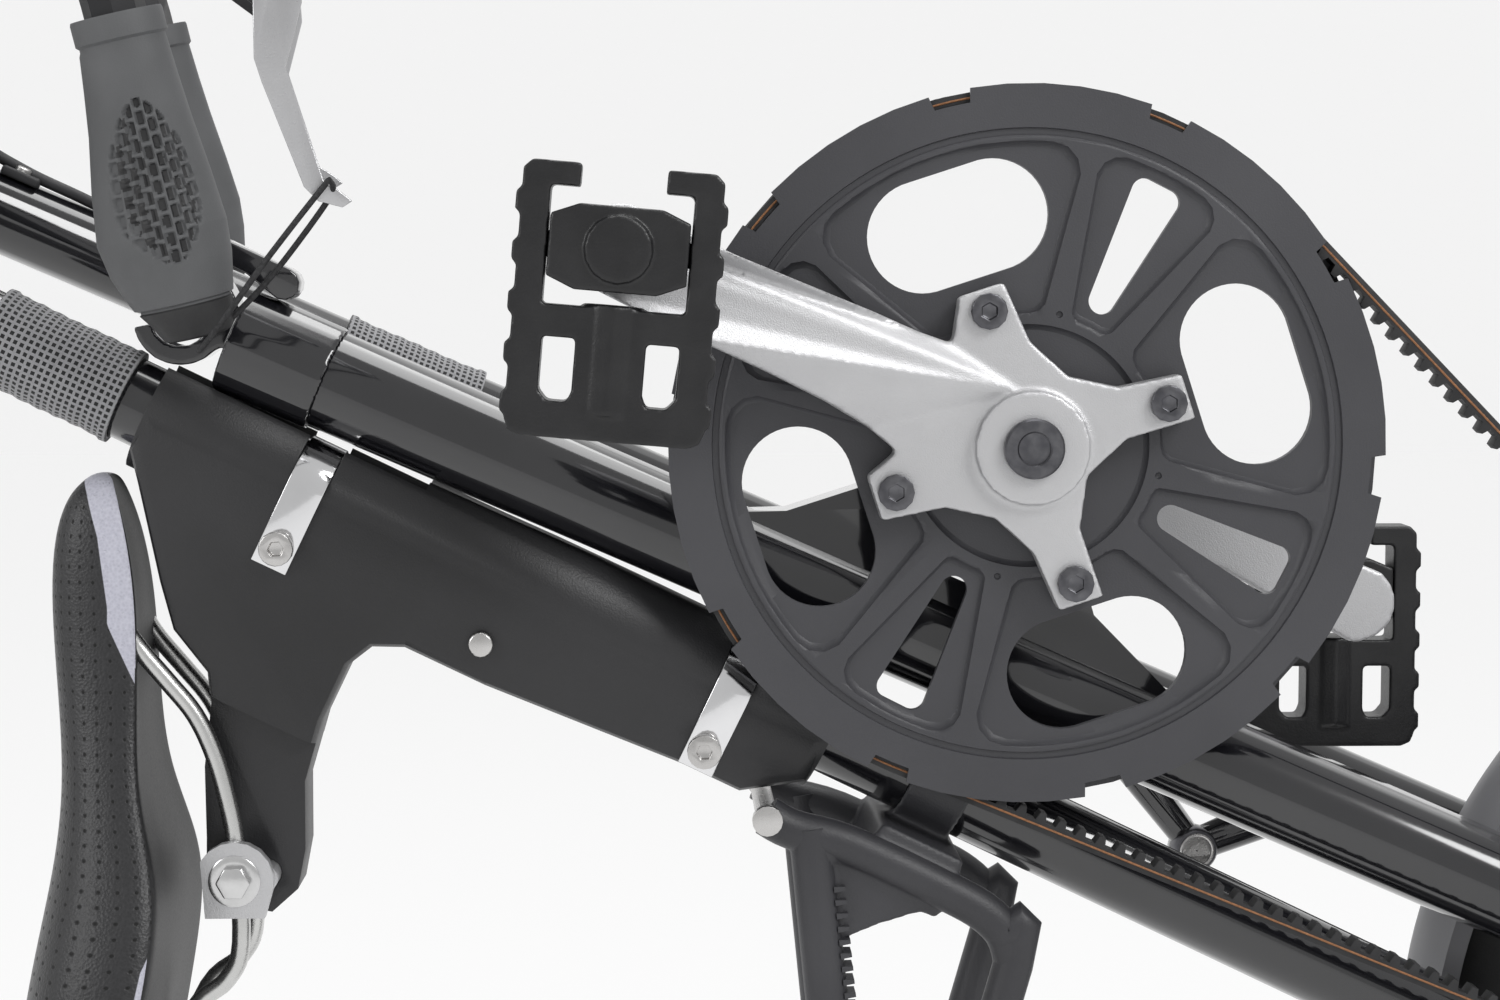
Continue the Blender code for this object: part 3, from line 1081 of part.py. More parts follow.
stem_radius = 14.0
stem_path = [(-60.0, -17.0, 0.0), (-61.0, -30.0, 40.0), (-60.0, -38.0, 90.0), (stem_back, stem_side, stem_reach)]
stem = pipe("stem", stem_path, stem_radius, front_line, MATT_BLACK, 2)
hinge_gap = 1.0
knuckle = 15.0
pin_frames = {}
for side_name, side in (("right", -1.0), ("left", 1.0)):
    pin_frames[side_name] = frame(side_name + "_bar_hinge", front_line, (stem_back, stem_side + side * bar_spacing, stem_reach), (0.0, bar_pin_tilt, 0.0))
cross = cylinder("stem_cross", 14.0, (stem_back, stem_side - bar_spacing + 20.0, stem_reach), (stem_back, stem_side + bar_spacing - 20.0, stem_reach), front_line, ROUND_SIDES)
foot = box("stem_foot", (30.0, 16.0, 26.0), front_line, (-60.0, -front_tube_radius - gap + 3.0 - 9.0, 0.0))
join(stem, cross, foot)
for side_name, side in (("right", -1.0), ("left", 1.0)):
    pin = pin_frames[side_name]
    for end_name, low, high in (("_ear_low", -17.0, -9.0), ("_ear_high", 9.0, 17.0)):
        ear = cylinder(side_name + end_name, knuckle, (0.0, 0.0, low), (0.0, 0.0, high), pin, 14)
        arm_of_ear = box(side_name + end_name + "_arm", (26.0, 24.0, high - low - 0.6), pin, (0.0, -side * 16.0, (low + high) / 2))
        join(stem, ear, arm_of_ear)
    join(stem, cylinder(side_name + "_bar_pin", 4.0, (0.0, 0.0, -14.0), (0.0, 0.0, 14.0), pin, 10))
    join(stem, box(side_name + "_ear_root", (22.0, 18.0, 32.0), pin, (0.0, -side * 27.0, 0.0)))
cut(stem, cylinder("stem_way", front_tube_radius + gap, (-120.0, 0.0, 0.0), (0.0, 0.0, 0.0), front_line, ROUND_SIDES))

perch_from = 80.0
perch_to = 98.0
lever_pivot_at = (160.0, 42.0)
lever_side = 13.0
lever_half = 4.5
lever_outline = [
    (lever_pivot_at[0] - 7.0, 36.0), (172.9, 20.6), (181.1, 17.5), (218.6, 6.1), (225.6, 6.9), (232.5, 12.2), (232.9, 16.3), (226.7, 14.9), (221.3, 12.8),
    (199.0, 21.0), (182.0, 27.4), (168.0, 46.0), (163.0, 49.5), (156.0, 49.0), (152.0, 44.0),
]
grip_sides = 14
grip_sections = [
    # along the grip, half height above, half height below, half width
    (0.0, 16.5, 16.5, 16.5),
    (9.0, 16.5, 16.5, 16.5),
    (11.0, 15.5, 16.0, 15.5),
    (40.0, 17.0, 20.0, 16.0),
    (78.0, 20.0, 27.0, 17.0),
    (96.0, 17.5, 23.0, 16.0),
    (110.0, 14.0, 15.5, 14.5),
    (114.0, 13.5, 13.5, 13.5),
    (117.0, 11.8, 11.8, 11.8),
]
bend_x = bar_straight + bar_bend_radius * math.sin(rad(bar_bend))
bend_z = -bar_bend_radius * (1 - math.cos(rad(bar_bend)))
grip_x = bend_x + bar_to_grip * math.cos(rad(bar_bend))
grip_z = bend_z - bar_to_grip * math.sin(rad(bar_bend))


def handlebar_half(side_name, side):
    """Side is -1 on the right and +1 on the left. X runs along the folded bar, away from its hinge."""
    pin = pin_frames[side_name]
    bar_path = [(17.0, 0.0, 0.0), (bar_straight, 0.0, 0.0)]
    for i in range(1, 6):
        turn = rad(bar_bend) * i / 5
        bar_path.append((bar_straight + bar_bend_radius * math.sin(turn), 0.0, -bar_bend_radius * (1 - math.cos(turn))))
    end = grip_length - 5.0
    bar_path.append((grip_x + end * math.cos(rad(bar_bend)), 0.0, grip_z - end * math.sin(rad(bar_bend))))
    bar = pipe(side_name + "_bar", bar_path, bar_radius, pin, MATT_BLACK, 2)
    eye = cylinder("eye", knuckle - 1.0, (0.0, 0.0, -9.0 + hinge_gap), (0.0, 0.0, 9.0 - hinge_gap), pin, 16)
    join(bar, eye, box("eye_root", (18.0, 16.0, 2 * (9.0 - hinge_gap) - 0.6), pin, (15.0, 0.0, 0.0)))
    cut(bar, cylinder("eye_way", 4.0 + running_gap, (0.0, 0.0, -20.0), (0.0, 0.0, 20.0), pin, 10))

    grip_frame = frame(side_name + "_grip_line", pin, (grip_x, 0.0, grip_z), (0.0, bar_bend, 0.0))
    shape = bmesh.new()
    rings = []
    for along, up, down, half in grip_sections:
        row = []
        for i in range(grip_sides):
            turn = 2 * math.pi * i / grip_sides
            height = math.sin(turn) * (up if math.sin(turn) > 0 else down)
            row.append(shape.verts.new(Vector((along, half * math.cos(turn), height)) * MM))
        rings.append(row)
    for a, b in zip(rings, rings[1:]):
        for i in range(grip_sides):
            j = (i + 1) % grip_sides
            shape.faces.new((a[i], a[j], b[j], b[i]))
    shape.faces.new(rings[0])
    shape.faces.new(rings[-1])
    grip = place(from_bmesh(side_name + "_grip", shape), grip_frame, paint=GRIP_GREY)
    cut(grip, cylinder("grip_way", bar_radius + gap + 0.3, (-9.0, 0.0, 0.0), (grip_length - 5.0 + gap, 0.0, 0.0), grip_frame, 14))

    near = side * lever_side
    perch = cylinder(side_name + "_perch", 15.5, (perch_from, 0.0, 0.0), (perch_to, 0.0, 0.0), pin, 18, MATT_BLACK)
    arm = [(perch_from + 1.0, 6.0), (perch_to - 1.0, 6.0), (128.0, 24.0), (lever_pivot_at[0] + 4.0, 34.0), (lever_pivot_at[0] + 8.0, 42.0), (lever_pivot_at[0] + 2.0, 50.0), (lever_pivot_at[0] - 12.0, 50.0), (108.0, 34.0), (perch_from + 1.0, 14.0)]
    cheek_in = near - side * (lever_half + gap)
    join(perch, plate("perch_arm", [arm], cheek_in - side * 7.0, cheek_in, pin))
    join(perch, cylinder("lever_pin", 2.5, (lever_pivot_at[0], cheek_in - side * 3.0, lever_pivot_at[1]), (lever_pivot_at[0], near + side * (lever_half + 1.0), lever_pivot_at[1]), pin, 12))
    cut(perch, cylinder("perch_way", bar_radius + gap, (perch_from - 9.0, 0.0, 0.0), (perch_to + 9.0, 0.0, 0.0), pin, 18))
    lever_frame = frame(side_name + "_lever_pivot", pin, (lever_pivot_at[0], near, lever_pivot_at[1]))
    moved = [(x - lever_pivot_at[0], z - lever_pivot_at[1]) for x, z in lever_outline]
    lever = plate(side_name + "_brake_lever", [moved], -lever_half, lever_half, lever_frame, paint=SATIN)
    cut(lever, cylinder("lever_way", 2.5 + running_gap, (0.0, -20.0, 0.0), (0.0, 20.0, 0.0), lever_frame, 12))
    return grip_frame


handlebar_half("right", -1.0)
handlebar_half("left", 1.0)


# Flat faces of every cut piece are merged, last of all

for piece in bike.objects:
    kinds = [step.type for step in piece.modifiers]
    if "BOOLEAN" in kinds and "DECIMATE" not in kinds:
        flatten(piece)

print("fold axis", [round(a, 6) for a in fold_axis], "angle", math.degrees(fold_angle), "bottom fold", bottom_fold)
print("bracket", bracket_x - middle_x, bracket_z, "hub station", hub_station)
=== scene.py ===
import math

import bpy
from mathutils import Matrix, Vector


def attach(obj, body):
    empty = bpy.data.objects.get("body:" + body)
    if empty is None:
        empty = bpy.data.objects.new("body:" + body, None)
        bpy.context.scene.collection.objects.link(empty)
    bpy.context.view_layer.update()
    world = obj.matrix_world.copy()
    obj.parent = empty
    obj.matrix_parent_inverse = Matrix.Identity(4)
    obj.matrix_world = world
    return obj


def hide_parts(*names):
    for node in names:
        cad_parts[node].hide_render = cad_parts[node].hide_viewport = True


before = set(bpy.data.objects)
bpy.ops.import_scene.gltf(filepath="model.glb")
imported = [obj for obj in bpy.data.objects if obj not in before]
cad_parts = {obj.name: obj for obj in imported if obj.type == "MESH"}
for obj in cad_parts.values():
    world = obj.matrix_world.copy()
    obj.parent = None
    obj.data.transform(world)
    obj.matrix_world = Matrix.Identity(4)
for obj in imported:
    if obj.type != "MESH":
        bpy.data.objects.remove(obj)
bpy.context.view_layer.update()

bpy.ops.object.select_all(action="DESELECT")


# Studio: a camera where the photo's was, as fitted to the belt pulley and the cranks, a pale floor and
# backdrop that show nearly white, and three soft lamps under a plain pale sky.

camera_at = Vector((-0.18234, -1.18250, 0.52017))
camera_ahead = Vector((0.03186, 0.99636, -0.07911))
camera_up = Vector((0.00253, 0.07907, 0.99687))
lens = bpy.data.cameras.new("studio_camera")
lens.lens = 72.0
lens.sensor_width = 36.0
camera = bpy.data.objects.new("studio_camera", lens)
bpy.context.scene.collection.objects.link(camera)
camera_side = camera_ahead.cross(camera_up).normalized()
turned = Matrix((camera_side, camera_side.cross(camera_ahead), -camera_ahead)).transposed()
camera.matrix_world = Matrix.Translation(camera_at) @ turned.to_4x4()
bpy.context.scene.camera = camera
bpy.context.scene.view_settings.view_transform = "Standard"

sky = bpy.data.worlds.new("studio_sky")
bpy.context.scene.world = sky
sky.use_nodes = True
nodes, links = sky.node_tree.nodes, sky.node_tree.links
background = nodes["Background"]
rays = nodes.new("ShaderNodeLightPath")
seen = nodes.new("ShaderNodeMath")
seen.operation = "MAXIMUM"
links.new(rays.outputs["Is Camera Ray"], seen.inputs[0])
links.new(rays.outputs["Is Transmission Ray"], seen.inputs[1])
level = nodes.new("ShaderNodeMapRange")
sky_on_the_bike = 0.62
sky_in_view = 1.0
level.inputs["To Min"].default_value = sky_on_the_bike
level.inputs["To Max"].default_value = sky_in_view
links.new(seen.outputs[0], level.inputs["Value"])
background.inputs["Color"].default_value = (1.0, 1.0, 1.0, 1.0)
links.new(level.outputs["Result"], background.inputs["Strength"])

paper = bpy.data.materials.new("studio_paper")
paper.use_nodes = True
nodes, links = paper.node_tree.nodes, paper.node_tree.links
matt = nodes["Principled BSDF"]
matt.inputs["Roughness"].default_value = 0.9
speckle = nodes.new("ShaderNodeTexNoise")
speckle.inputs["Scale"].default_value = 6.0
tint = nodes.new("ShaderNodeMapRange")
tint.inputs["To Min"].default_value = 0.78
tint.inputs["To Max"].default_value = 0.82
links.new(speckle.outputs["Fac"], tint.inputs["Value"])
links.new(tint.outputs["Result"], matt.inputs["Base Color"])
glow = nodes.new("ShaderNodeEmission")
glow.inputs["Strength"].default_value = 1.0
rays = nodes.new("ShaderNodeLightPath")
seen = nodes.new("ShaderNodeMath")
seen.operation = "MAXIMUM"
links.new(rays.outputs["Is Camera Ray"], seen.inputs[0])
links.new(rays.outputs["Is Glossy Ray"], seen.inputs[1])
share = nodes.new("ShaderNodeMath")
share.operation = "MULTIPLY"
own_glow = 0.8
share.inputs[1].default_value = own_glow
links.new(seen.outputs[0], share.inputs[0])
blend = nodes.new("ShaderNodeMixShader")
links.new(share.outputs[0], blend.inputs["Fac"])
links.new(matt.outputs[0], blend.inputs[1])
links.new(glow.outputs[0], blend.inputs[2])
links.new(blend.outputs[0], nodes["Material Output"].inputs["Surface"])
paper_size = 15.0
backdrop_at = (0.0, 7.0, 6.0)
bpy.ops.mesh.primitive_plane_add(size=paper_size, location=(0.0, 0.0, 0.0))
floor = bpy.context.object
floor.name = "studio_floor"
upright = (math.radians(90.0), 0.0, 0.0)
bpy.ops.mesh.primitive_plane_add(size=paper_size, location=backdrop_at, rotation=upright)
backdrop = bpy.context.object
backdrop.name = "studio_backdrop"
for sheet in (floor, backdrop):
    sheet.data.materials.append(paper)

for name, at, aim, width, watts in (
    ("lamp_upper_right", (1.3, -1.5, 2.0), (0.0, 0.0, 0.4), 1.1, 30.0),
    ("lamp_left", (-1.9, -1.1, 1.2), (-0.2, 0.0, 0.4), 1.0, 10.0),
    ("lamp_overhead", (0.0, 0.5, 2.4), (0.0, 0.0, 0.4), 1.6, 22.0),
):
    light = bpy.data.lights.new(name, "AREA")
    light.shape = "DISK"
    light.size = width
    light.energy = watts
    lamp = bpy.data.objects.new(name, light)
    bpy.context.scene.collection.objects.link(lamp)
    lamp.location = at
    lamp.rotation_euler = (Vector(aim) - Vector(at)).to_track_quat("-Z", "Y").to_euler()


# Seat tube: a round metal tube, enamelled gloss black, with the top lug and the rear lug over its two ends
# and a steel pin through the fold at the top.

MM = 0.001


def finish(
    name, colour, other, patch=25.0, rough=(0.3, 0.4), grain=900.0, relief=0.05, metal=0.0, coat=0.0,
    stretch=(1.0, 1.0, 1.0),
):
    """A finish that drifts between two colours in soft patches, with a fine grain in its gloss."""
    made = bpy.data.materials.new(name)
    made.use_nodes = True
    nodes, links = made.node_tree.nodes, made.node_tree.links
    shader = nodes["Principled BSDF"]
    shader.inputs["Metallic"].default_value = metal
    shader.inputs["Coat Weight"].default_value = coat
    shader.inputs["Coat Roughness"].default_value = 0.06
    spots = nodes.new("ShaderNodeTexCoord")
    axes = nodes.new("ShaderNodeMapping")
    axes.inputs["Scale"].default_value = stretch
    links.new(spots.outputs["Object"], axes.inputs["Vector"])
    clouds = nodes.new("ShaderNodeTexNoise")
    clouds.inputs["Scale"].default_value = patch
    clouds.inputs["Detail"].default_value = 5.0
    links.new(axes.outputs["Vector"], clouds.inputs["Vector"])
    tones = nodes.new("ShaderNodeValToRGB")
    tones.color_ramp.elements[0].position = 0.35
    tones.color_ramp.elements[0].color = (*colour, 1.0)
    tones.color_ramp.elements[1].position = 0.68
    tones.color_ramp.elements[1].color = (*other, 1.0)
    links.new(clouds.outputs["Fac"], tones.inputs["Fac"])
    links.new(tones.outputs["Color"], shader.inputs["Base Color"])
    fine = nodes.new("ShaderNodeTexNoise")
    fine.inputs["Scale"].default_value = grain
    fine.inputs["Detail"].default_value = 2.0
    links.new(axes.outputs["Vector"], fine.inputs["Vector"])
    gloss = nodes.new("ShaderNodeMapRange")
    gloss.inputs["To Min"].default_value = rough[0]
    gloss.inputs["To Max"].default_value = rough[1]
    links.new(fine.outputs["Fac"], gloss.inputs["Value"])
    links.new(gloss.outputs["Result"], shader.inputs["Roughness"])
    bump = nodes.new("ShaderNodeBump")
    bump.inputs["Strength"].default_value = relief
    bump.inputs["Distance"].default_value = 0.0004
    links.new(fine.outputs["Fac"], bump.inputs["Height"])
    links.new(bump.outputs["Normal"], shader.inputs["Normal"])
    return made


def only(piece):
    """Selects one piece alone."""
    bpy.ops.object.select_all(action="DESELECT")
    piece.select_set(True)
    bpy.context.view_layer.objects.active = piece


def fitted(piece, body, paint, angle=35.0, stands_for=()):
    """Lays a new piece down in the bike's own frame, smooths it, paints it and lets it ride on its body."""
    only(piece)
    bpy.ops.object.transform_apply(location=True, rotation=True, scale=True)
    bpy.ops.object.shade_smooth_by_angle(angle=math.radians(angle))
    if paint:
        piece.data.materials.clear()
        piece.data.materials.append(paint)
    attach(piece, body)
    if stands_for:
        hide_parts(*stands_for)
    return piece


def skin(node, edge=0.0, rows=2, limit=40.0):
    """A welded copy of a solid, with its edges broken by a small radius in millimetres."""
    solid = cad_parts[node]
    copy = bpy.data.objects.new(node + "_skin", solid.data.copy())
    bpy.context.scene.collection.objects.link(copy)
    copy.matrix_world = solid.matrix_world
    only(copy)
    bpy.ops.object.mode_set(mode="EDIT")
    bpy.ops.mesh.select_all(action="SELECT")
    bpy.ops.mesh.remove_doubles(threshold=0.00002)
    bpy.ops.mesh.dissolve_limited(angle_limit=math.radians(0.4))
    bpy.ops.object.mode_set(mode="OBJECT")
    if edge:
        broken = copy.modifiers.new("broken_edges", "BEVEL")
        broken.width = edge * MM
        broken.segments = rows
        broken.limit_method = "ANGLE"
        broken.angle_limit = math.radians(limit)
        bpy.ops.object.modifier_apply(modifier=broken.name)
    return copy


def dressed(node, body, paint, edge=0.0, angle=35.0, rows=2, limit=40.0):
    """A skin over a solid, painted, that stands for its node."""
    return fitted(skin(node, edge, rows, limit), body, paint, angle, (node,))


enamel = finish(
    "gloss_black_enamel", (0.006, 0.006, 0.008), (0.012, 0.012, 0.014),
    18.0, (0.10, 0.16), 500.0, 0.012, coat=1.0,
)
pin_steel = finish(
    "ground_steel", (0.52, 0.51, 0.50), (0.62, 0.61, 0.60), 60.0, (0.22, 0.36), 1200.0, 0.05, metal=1.0,
    stretch=(1.0, 0.2, 1.0),
)
for node, edge in (("seat_tube", 0.8), ("top_lug", 1.2), ("rear_lug", 1.0)):
    dressed(node, "seat_frame", enamel, edge)
dressed("top_pin", "seat_frame", pin_steel, 1.0)


# Rear mudguard: thin grey injection-moulded plastic, rounded over the tyre, on one stay from the seat tube.
# The caliper is a black casting over the brake disc.

def placed(at, *turns):
    """A frame in metres at a point in millimetres, turned by (degrees, axis) pairs."""
    made = Matrix.Translation(Vector(at) * MM)
    for degrees, axis in turns:
        made = made @ Matrix.Rotation(math.radians(degrees), 4, axis)
    return made


rear_axle_at = (327.6, -2.1, 200.0)
rear_axle = placed(rear_axle_at)
seat_lean = 25.8
seat_line = placed((327.6, -54.1, 200.0), (seat_lean, "Y"))


def lofted(name, rows, where, closed=False):
    """A skin through rows of points in millimetres, each row a ring.

    Its ends are filled, or joined where it is closed, and its UV map is in metres.
    """
    across = len(rows[0])
    rings = rows + [rows[0]] if closed else rows
    bpy.ops.object.select_all(action="DESELECT")
    bpy.ops.mesh.primitive_grid_add(x_subdivisions=across, y_subdivisions=len(rings) - 1, size=1.0)
    made = bpy.context.object
    made.name = name
    mesh = made.data
    width = across + 1
    along, round_it = [0.0], [0.0]
    for before, after in zip(rings, rings[1:]):
        along.append(along[-1] + (Vector(after[0]) - Vector(before[0])).length * MM)
    middle = rings[len(rings) // 2]
    for i in range(across):
        round_it.append(round_it[-1] + (Vector(middle[(i + 1) % across]) - Vector(middle[i])).length * MM)
    for vertex in mesh.vertices:
        row, column = divmod(vertex.index, width)
        vertex.co = where @ (Vector(rings[row][column % across]) * MM)
    for loop in mesh.loops:
        row, column = divmod(loop.vertex_index, width)
        mesh.uv_layers[0].data[loop.index].uv = (along[row], round_it[column])
    bpy.ops.object.mode_set(mode="EDIT")
    bpy.ops.mesh.select_all(action="SELECT")
    bpy.ops.mesh.remove_doubles(threshold=0.000005)
    if not closed:
        bpy.ops.mesh.select_all(action="DESELECT")
        bpy.ops.mesh.select_non_manifold(extend=False)
        bpy.ops.mesh.fill_holes(sides=0)
    bpy.ops.mesh.select_all(action="SELECT")
    bpy.ops.mesh.normals_make_consistent(inside=False)
    bpy.ops.object.mode_set(mode="OBJECT")
    return made


def wheel_rows(profile, steps, start=0.0, sweep=360.0):
    """A profile of (radius, height along the axle) set round an axle along Y."""
    count = steps if sweep == 360.0 else steps + 1
    turns = [math.radians(start + sweep * i / steps) for i in range(count)]
    return [[(r * math.cos(t), -h, r * math.sin(t)) for r, h in profile] for t in turns]


guard_grey = finish(
    "mudguard_grey_plastic", (0.16, 0.16, 0.17), (0.20, 0.20, 0.21),
    12.0, (0.38, 0.5), 1400.0, 0.08,
)
guard_lines = [(197.0, 26.0), (204.0, 25.0), (206.2, 17.0), (207.6, 12.0), (208.4, 7.0), (209.0, 0.0)]
guard_under = [(207.0, 0.0), (206.4, 7.0), (205.6, 12.0), (204.2, 16.5), (202.0, 23.4), (197.0, 24.0)]
guard_ring = list(guard_lines)
guard_ring += [(r, -h) for r, h in reversed(guard_lines[:-1])]
guard_ring += [(r, -h) for r, h in reversed(guard_under[1:])]
guard_ring += guard_under
guard_start = 96.0
guard_sweep = 149.0
guard = lofted("rear_mudguard_shell", wheel_rows(guard_ring, 74, guard_start, guard_sweep), rear_axle)
bpy.ops.mesh.primitive_cube_add(size=1.0)
stay = bpy.context.object
stay.name = "mudguard_stay"
stay_at = (-189.67, 22.15, -65.0)
stay_size = (0.016, 0.0117, 0.012)
stay.data.transform(seat_line @ placed(stay_at) @ Matrix.Diagonal((*stay_size, 1.0)))
only(stay)
rounded = stay.modifiers.new("rounded", "BEVEL")
rounded.width = 0.0015
rounded.segments = 3
bpy.ops.object.modifier_apply(modifier=rounded.name)
fitted(guard, "seat_frame", guard_grey, 30.0, ("rear_mudguard",))
fitted(stay, "seat_frame", guard_grey)

black_casting = finish(
    "black_casting", (0.015, 0.015, 0.017), (0.028, 0.028, 0.030), 40.0, (0.42, 0.6), 700.0, 0.2,
)
dressed("rear_caliper", "seat_frame", black_casting, 0.8)


# Rear wheel: one casting of rim, five spokes and hub in gloss black, a rubber tyre with two grooves in its
# tread, a brake disc of stainless steel and a steel spindle that carries it from one side.

tyre_rubber = finish(
    "tyre_rubber", (0.012, 0.012, 0.013), (0.022, 0.022, 0.022), 60.0, (0.6, 0.8), 1600.0, 0.25,
)
disc_steel = finish(
    "brake_disc_steel", (0.50, 0.50, 0.50), (0.60, 0.60, 0.60), 20.0, (0.2, 0.34), 260.0, 0.05, metal=1.0,
    stretch=(1.0, 4.0, 1.0),
)


def tyre(name, node, body, where, reach):
    """A tyre, its section laid from the bead over the wall to the grooved tread and mirrored."""
    bead = [(167.1, 11.6), (170.9, 12.0), (170.9, 14.4)]
    wall = [(175.0, 17.0), (181.0, 18.0), (187.0, 17.2), (192.4, 15.4), (196.6, 12.2)]
    tread = [(reach - 1.6, 8.6), (reach - 3.0, 8.2), (reach - 3.0, 7.0), (reach - 0.7, 6.6), (reach, 2.2)]
    half = bead + wall + tread
    section = half + [(r, -h) for r, h in reversed(half)]
    made = lofted(name, wheel_rows(section, 120), where, closed=True)
    return fitted(made, body, tyre_rubber, 40.0, (node,))


tyre("rear_tyre_tread", "rear_tyre", "rear_roller", rear_axle, 199.9)
dressed("rear_wheel", "rear_roller", enamel, 0.8)
dressed("rear_disc", "rear_roller", disc_steel, 0.3)
dressed("rear_spindle", "rear_roller", pin_steel, 0.8)


# Bottom tube: gloss black tube that carries the crank bearing on a gusset and swings on the rear axle.
# At its free end a claw casting, with a spring lever on top, snaps over the ball of the front tube.

def softened(node, body, paint, cell, passes, angle=60.0):
    """A copy of a solid as it leaves a mould or a forge: its facets and edges flow into each other."""
    copy = skin(node)
    only(copy)
    cells = copy.modifiers.new("cells", "REMESH")
    cells.mode = "VOXEL"
    cells.voxel_size = cell * MM
    bpy.ops.object.modifier_apply(modifier=cells.name)
    flow = copy.modifiers.new("flow", "SMOOTH")
    flow.factor = 0.5
    flow.iterations = passes
    bpy.ops.object.modifier_apply(modifier=flow.name)
    return fitted(copy, body, paint, angle, (node,))


dressed("bottom_tube", "bottom_frame", enamel, 1.0)
softened("claw", "bottom_frame", enamel, 0.8, 6)
dressed("claw_lever", "claw_catch", enamel, 0.7)


# Belt pulley: a moulded disc of dark grey nylon with a hundred teeth between two flanges, a valley inside
# its rim, and four large windows and four slots, each in a sunk field.

bracket_at = (-45.339, -2.1, 452.974)
bracket = placed(bracket_at)
pulley_face = -87.0
web_thickness = 6.0
first_arm = 18.0
round_steps = 120
nylon = finish(
    "pulley_nylon", (0.040, 0.040, 0.045), (0.056, 0.056, 0.062),
    9.0, (0.40, 0.54), 1500.0, 0.22,
)


def polar(radius, degrees, around=(0.0, 0.0)):
    """A point (x, z) at a radius and an angle from X towards Z."""
    turn = math.radians(degrees)
    return (around[0] + radius * math.cos(turn), around[1] + radius * math.sin(turn))


def sunk_field(outline, depth, slope):
    """A cutter over (x, z) points, straight from in front of the face, then sloped to its floor."""
    proud = 3.0
    bpy.ops.object.select_all(action="DESELECT")
    bpy.ops.mesh.primitive_circle_add(vertices=len(outline), radius=1.0, fill_type="NGON")
    made = bpy.context.object
    for vertex, (x, z) in zip(made.data.vertices, outline):
        vertex.co = Vector((x, pulley_face - proud, z)) * MM
    sloped = slope * 0.8
    straight = proud + depth - sloped
    bpy.ops.object.mode_set(mode="EDIT")
    bpy.ops.mesh.select_all(action="SELECT")
    for step in (straight, sloped):
        bpy.ops.mesh.extrude_region_move(TRANSFORM_OT_translate={"value": (0.0, step * MM, 0.0)})
    middle = Vector((sum(x for x, z in outline), 0.0, sum(z for x, z in outline))) / len(outline) * MM
    spread = max((Vector((x, 0.0, z)) * MM - middle).length for x, z in outline)
    floor_scale = 1.0 - slope * MM / spread * 1.4
    floor_middle = middle + Vector((0.0, pulley_face * MM, 0.0))
    bpy.ops.transform.resize(value=(floor_scale, 1.0, floor_scale), center_override=tuple(floor_middle))
    bpy.ops.mesh.select_all(action="SELECT")
    bpy.ops.mesh.normals_make_consistent(inside=False)
    bpy.ops.object.mode_set(mode="OBJECT")
    return made


def sector(middle, inner, outer, half_in, half_out, corner_in, corner_out):
    """A field between two radii, with straight sides and rounded corners, as (x, z) points."""
    points = []
    for radius, half, corner, side in (
        (outer, half_out, corner_out, -1.0),
        (inner, half_in, corner_in, 1.0),
    ):
        reach = radius + side * corner
        lean = math.degrees(corner / reach)
        start = middle + side * (half - lean)
        end = middle - side * (half - lean)
        into = start + side * 90.0
        out_of = end + 90.0 + side * 90.0
        points += [polar(corner, into + 30.0 * i, polar(reach, start)) for i in range(4)]
        points += [polar(radius, start + (end - start) * i / 10.0) for i in range(1, 10)]
        points += [polar(corner, out_of + 30.0 * i, polar(reach, end)) for i in range(4)]
    return points


def taut_window(circles):
    """A cutter through the web: the taut outline round circles of (radius out, degrees, own radius)."""
    spots = []
    for radius, degrees, own in circles:
        spots += [polar(own, 7.5 * k, polar(radius, degrees)) for k in range(48)]
    spots = sorted(set(spots))
    hull = []
    for ordered in (spots, spots[::-1]):
        chain = []
        for x, z in ordered:
            while len(chain) > 1:
                (bx, bz), (cx, cz) = chain[-2:]
                if (cx - bx) * (z - bz) > (cz - bz) * (x - bx):
                    break
                chain.pop()
            chain.append((x, z))
        hull += chain[:-1]
    rows = [[(x, y, z) for x, z in hull] for y in (pulley_face - 4.0, pulley_face + 9.0)]
    return lofted("pulley_window", rows, bracket)


def joined(pieces):
    """Joins pieces into the first of them."""
    only(pieces[0])
    for piece in pieces:
        piece.select_set(True)
    bpy.ops.object.join()
    return bpy.context.object


field_cutters = []
window_cutters = []
for i in range(4):
    arm = first_arm + 90.0 * i
    slot = arm + 45.0
    field_cutters.append(sunk_field(sector(arm, 48.6, 111.2, 25.0, 28.6, 6.5, 11.0), 2.2, 2.0))
    field_cutters.append(sunk_field(sector(slot, 48.8, 110.8, 9.6, 13.2, 4.0, 9.0), 2.2, 2.0))
    dimple = [polar(1.3, 30.0 * k, polar(49.3, arm + 59.0)) for k in range(12)]
    field_cutters.append(sunk_field(dimple, 1.0, 0.4))
    window_cutters.append(taut_window([(85.5, arm - 9.0, 20.5), (85.5, arm + 9.0, 20.5)]))
    slot_ends = [(102.0, slot - 2.6, 4.8), (102.0, slot + 2.6, 4.8), (59.5, slot, 5.0)]
    window_cutters.append(taut_window(slot_ends))
fields = joined(field_cutters)
fields.data.transform(bracket)
windows = joined(window_cutters)
hub_step = sunk_field([polar(44.6, 3.0 * k) for k in range(round_steps)], 1.7, 1.5)
hub_step.data.transform(bracket)
front = -pulley_face
valley_section = [(116.4, front + 1.0), (112.9, front + 1.0), (113.6, front - 1.1), (115.7, front - 1.1)]
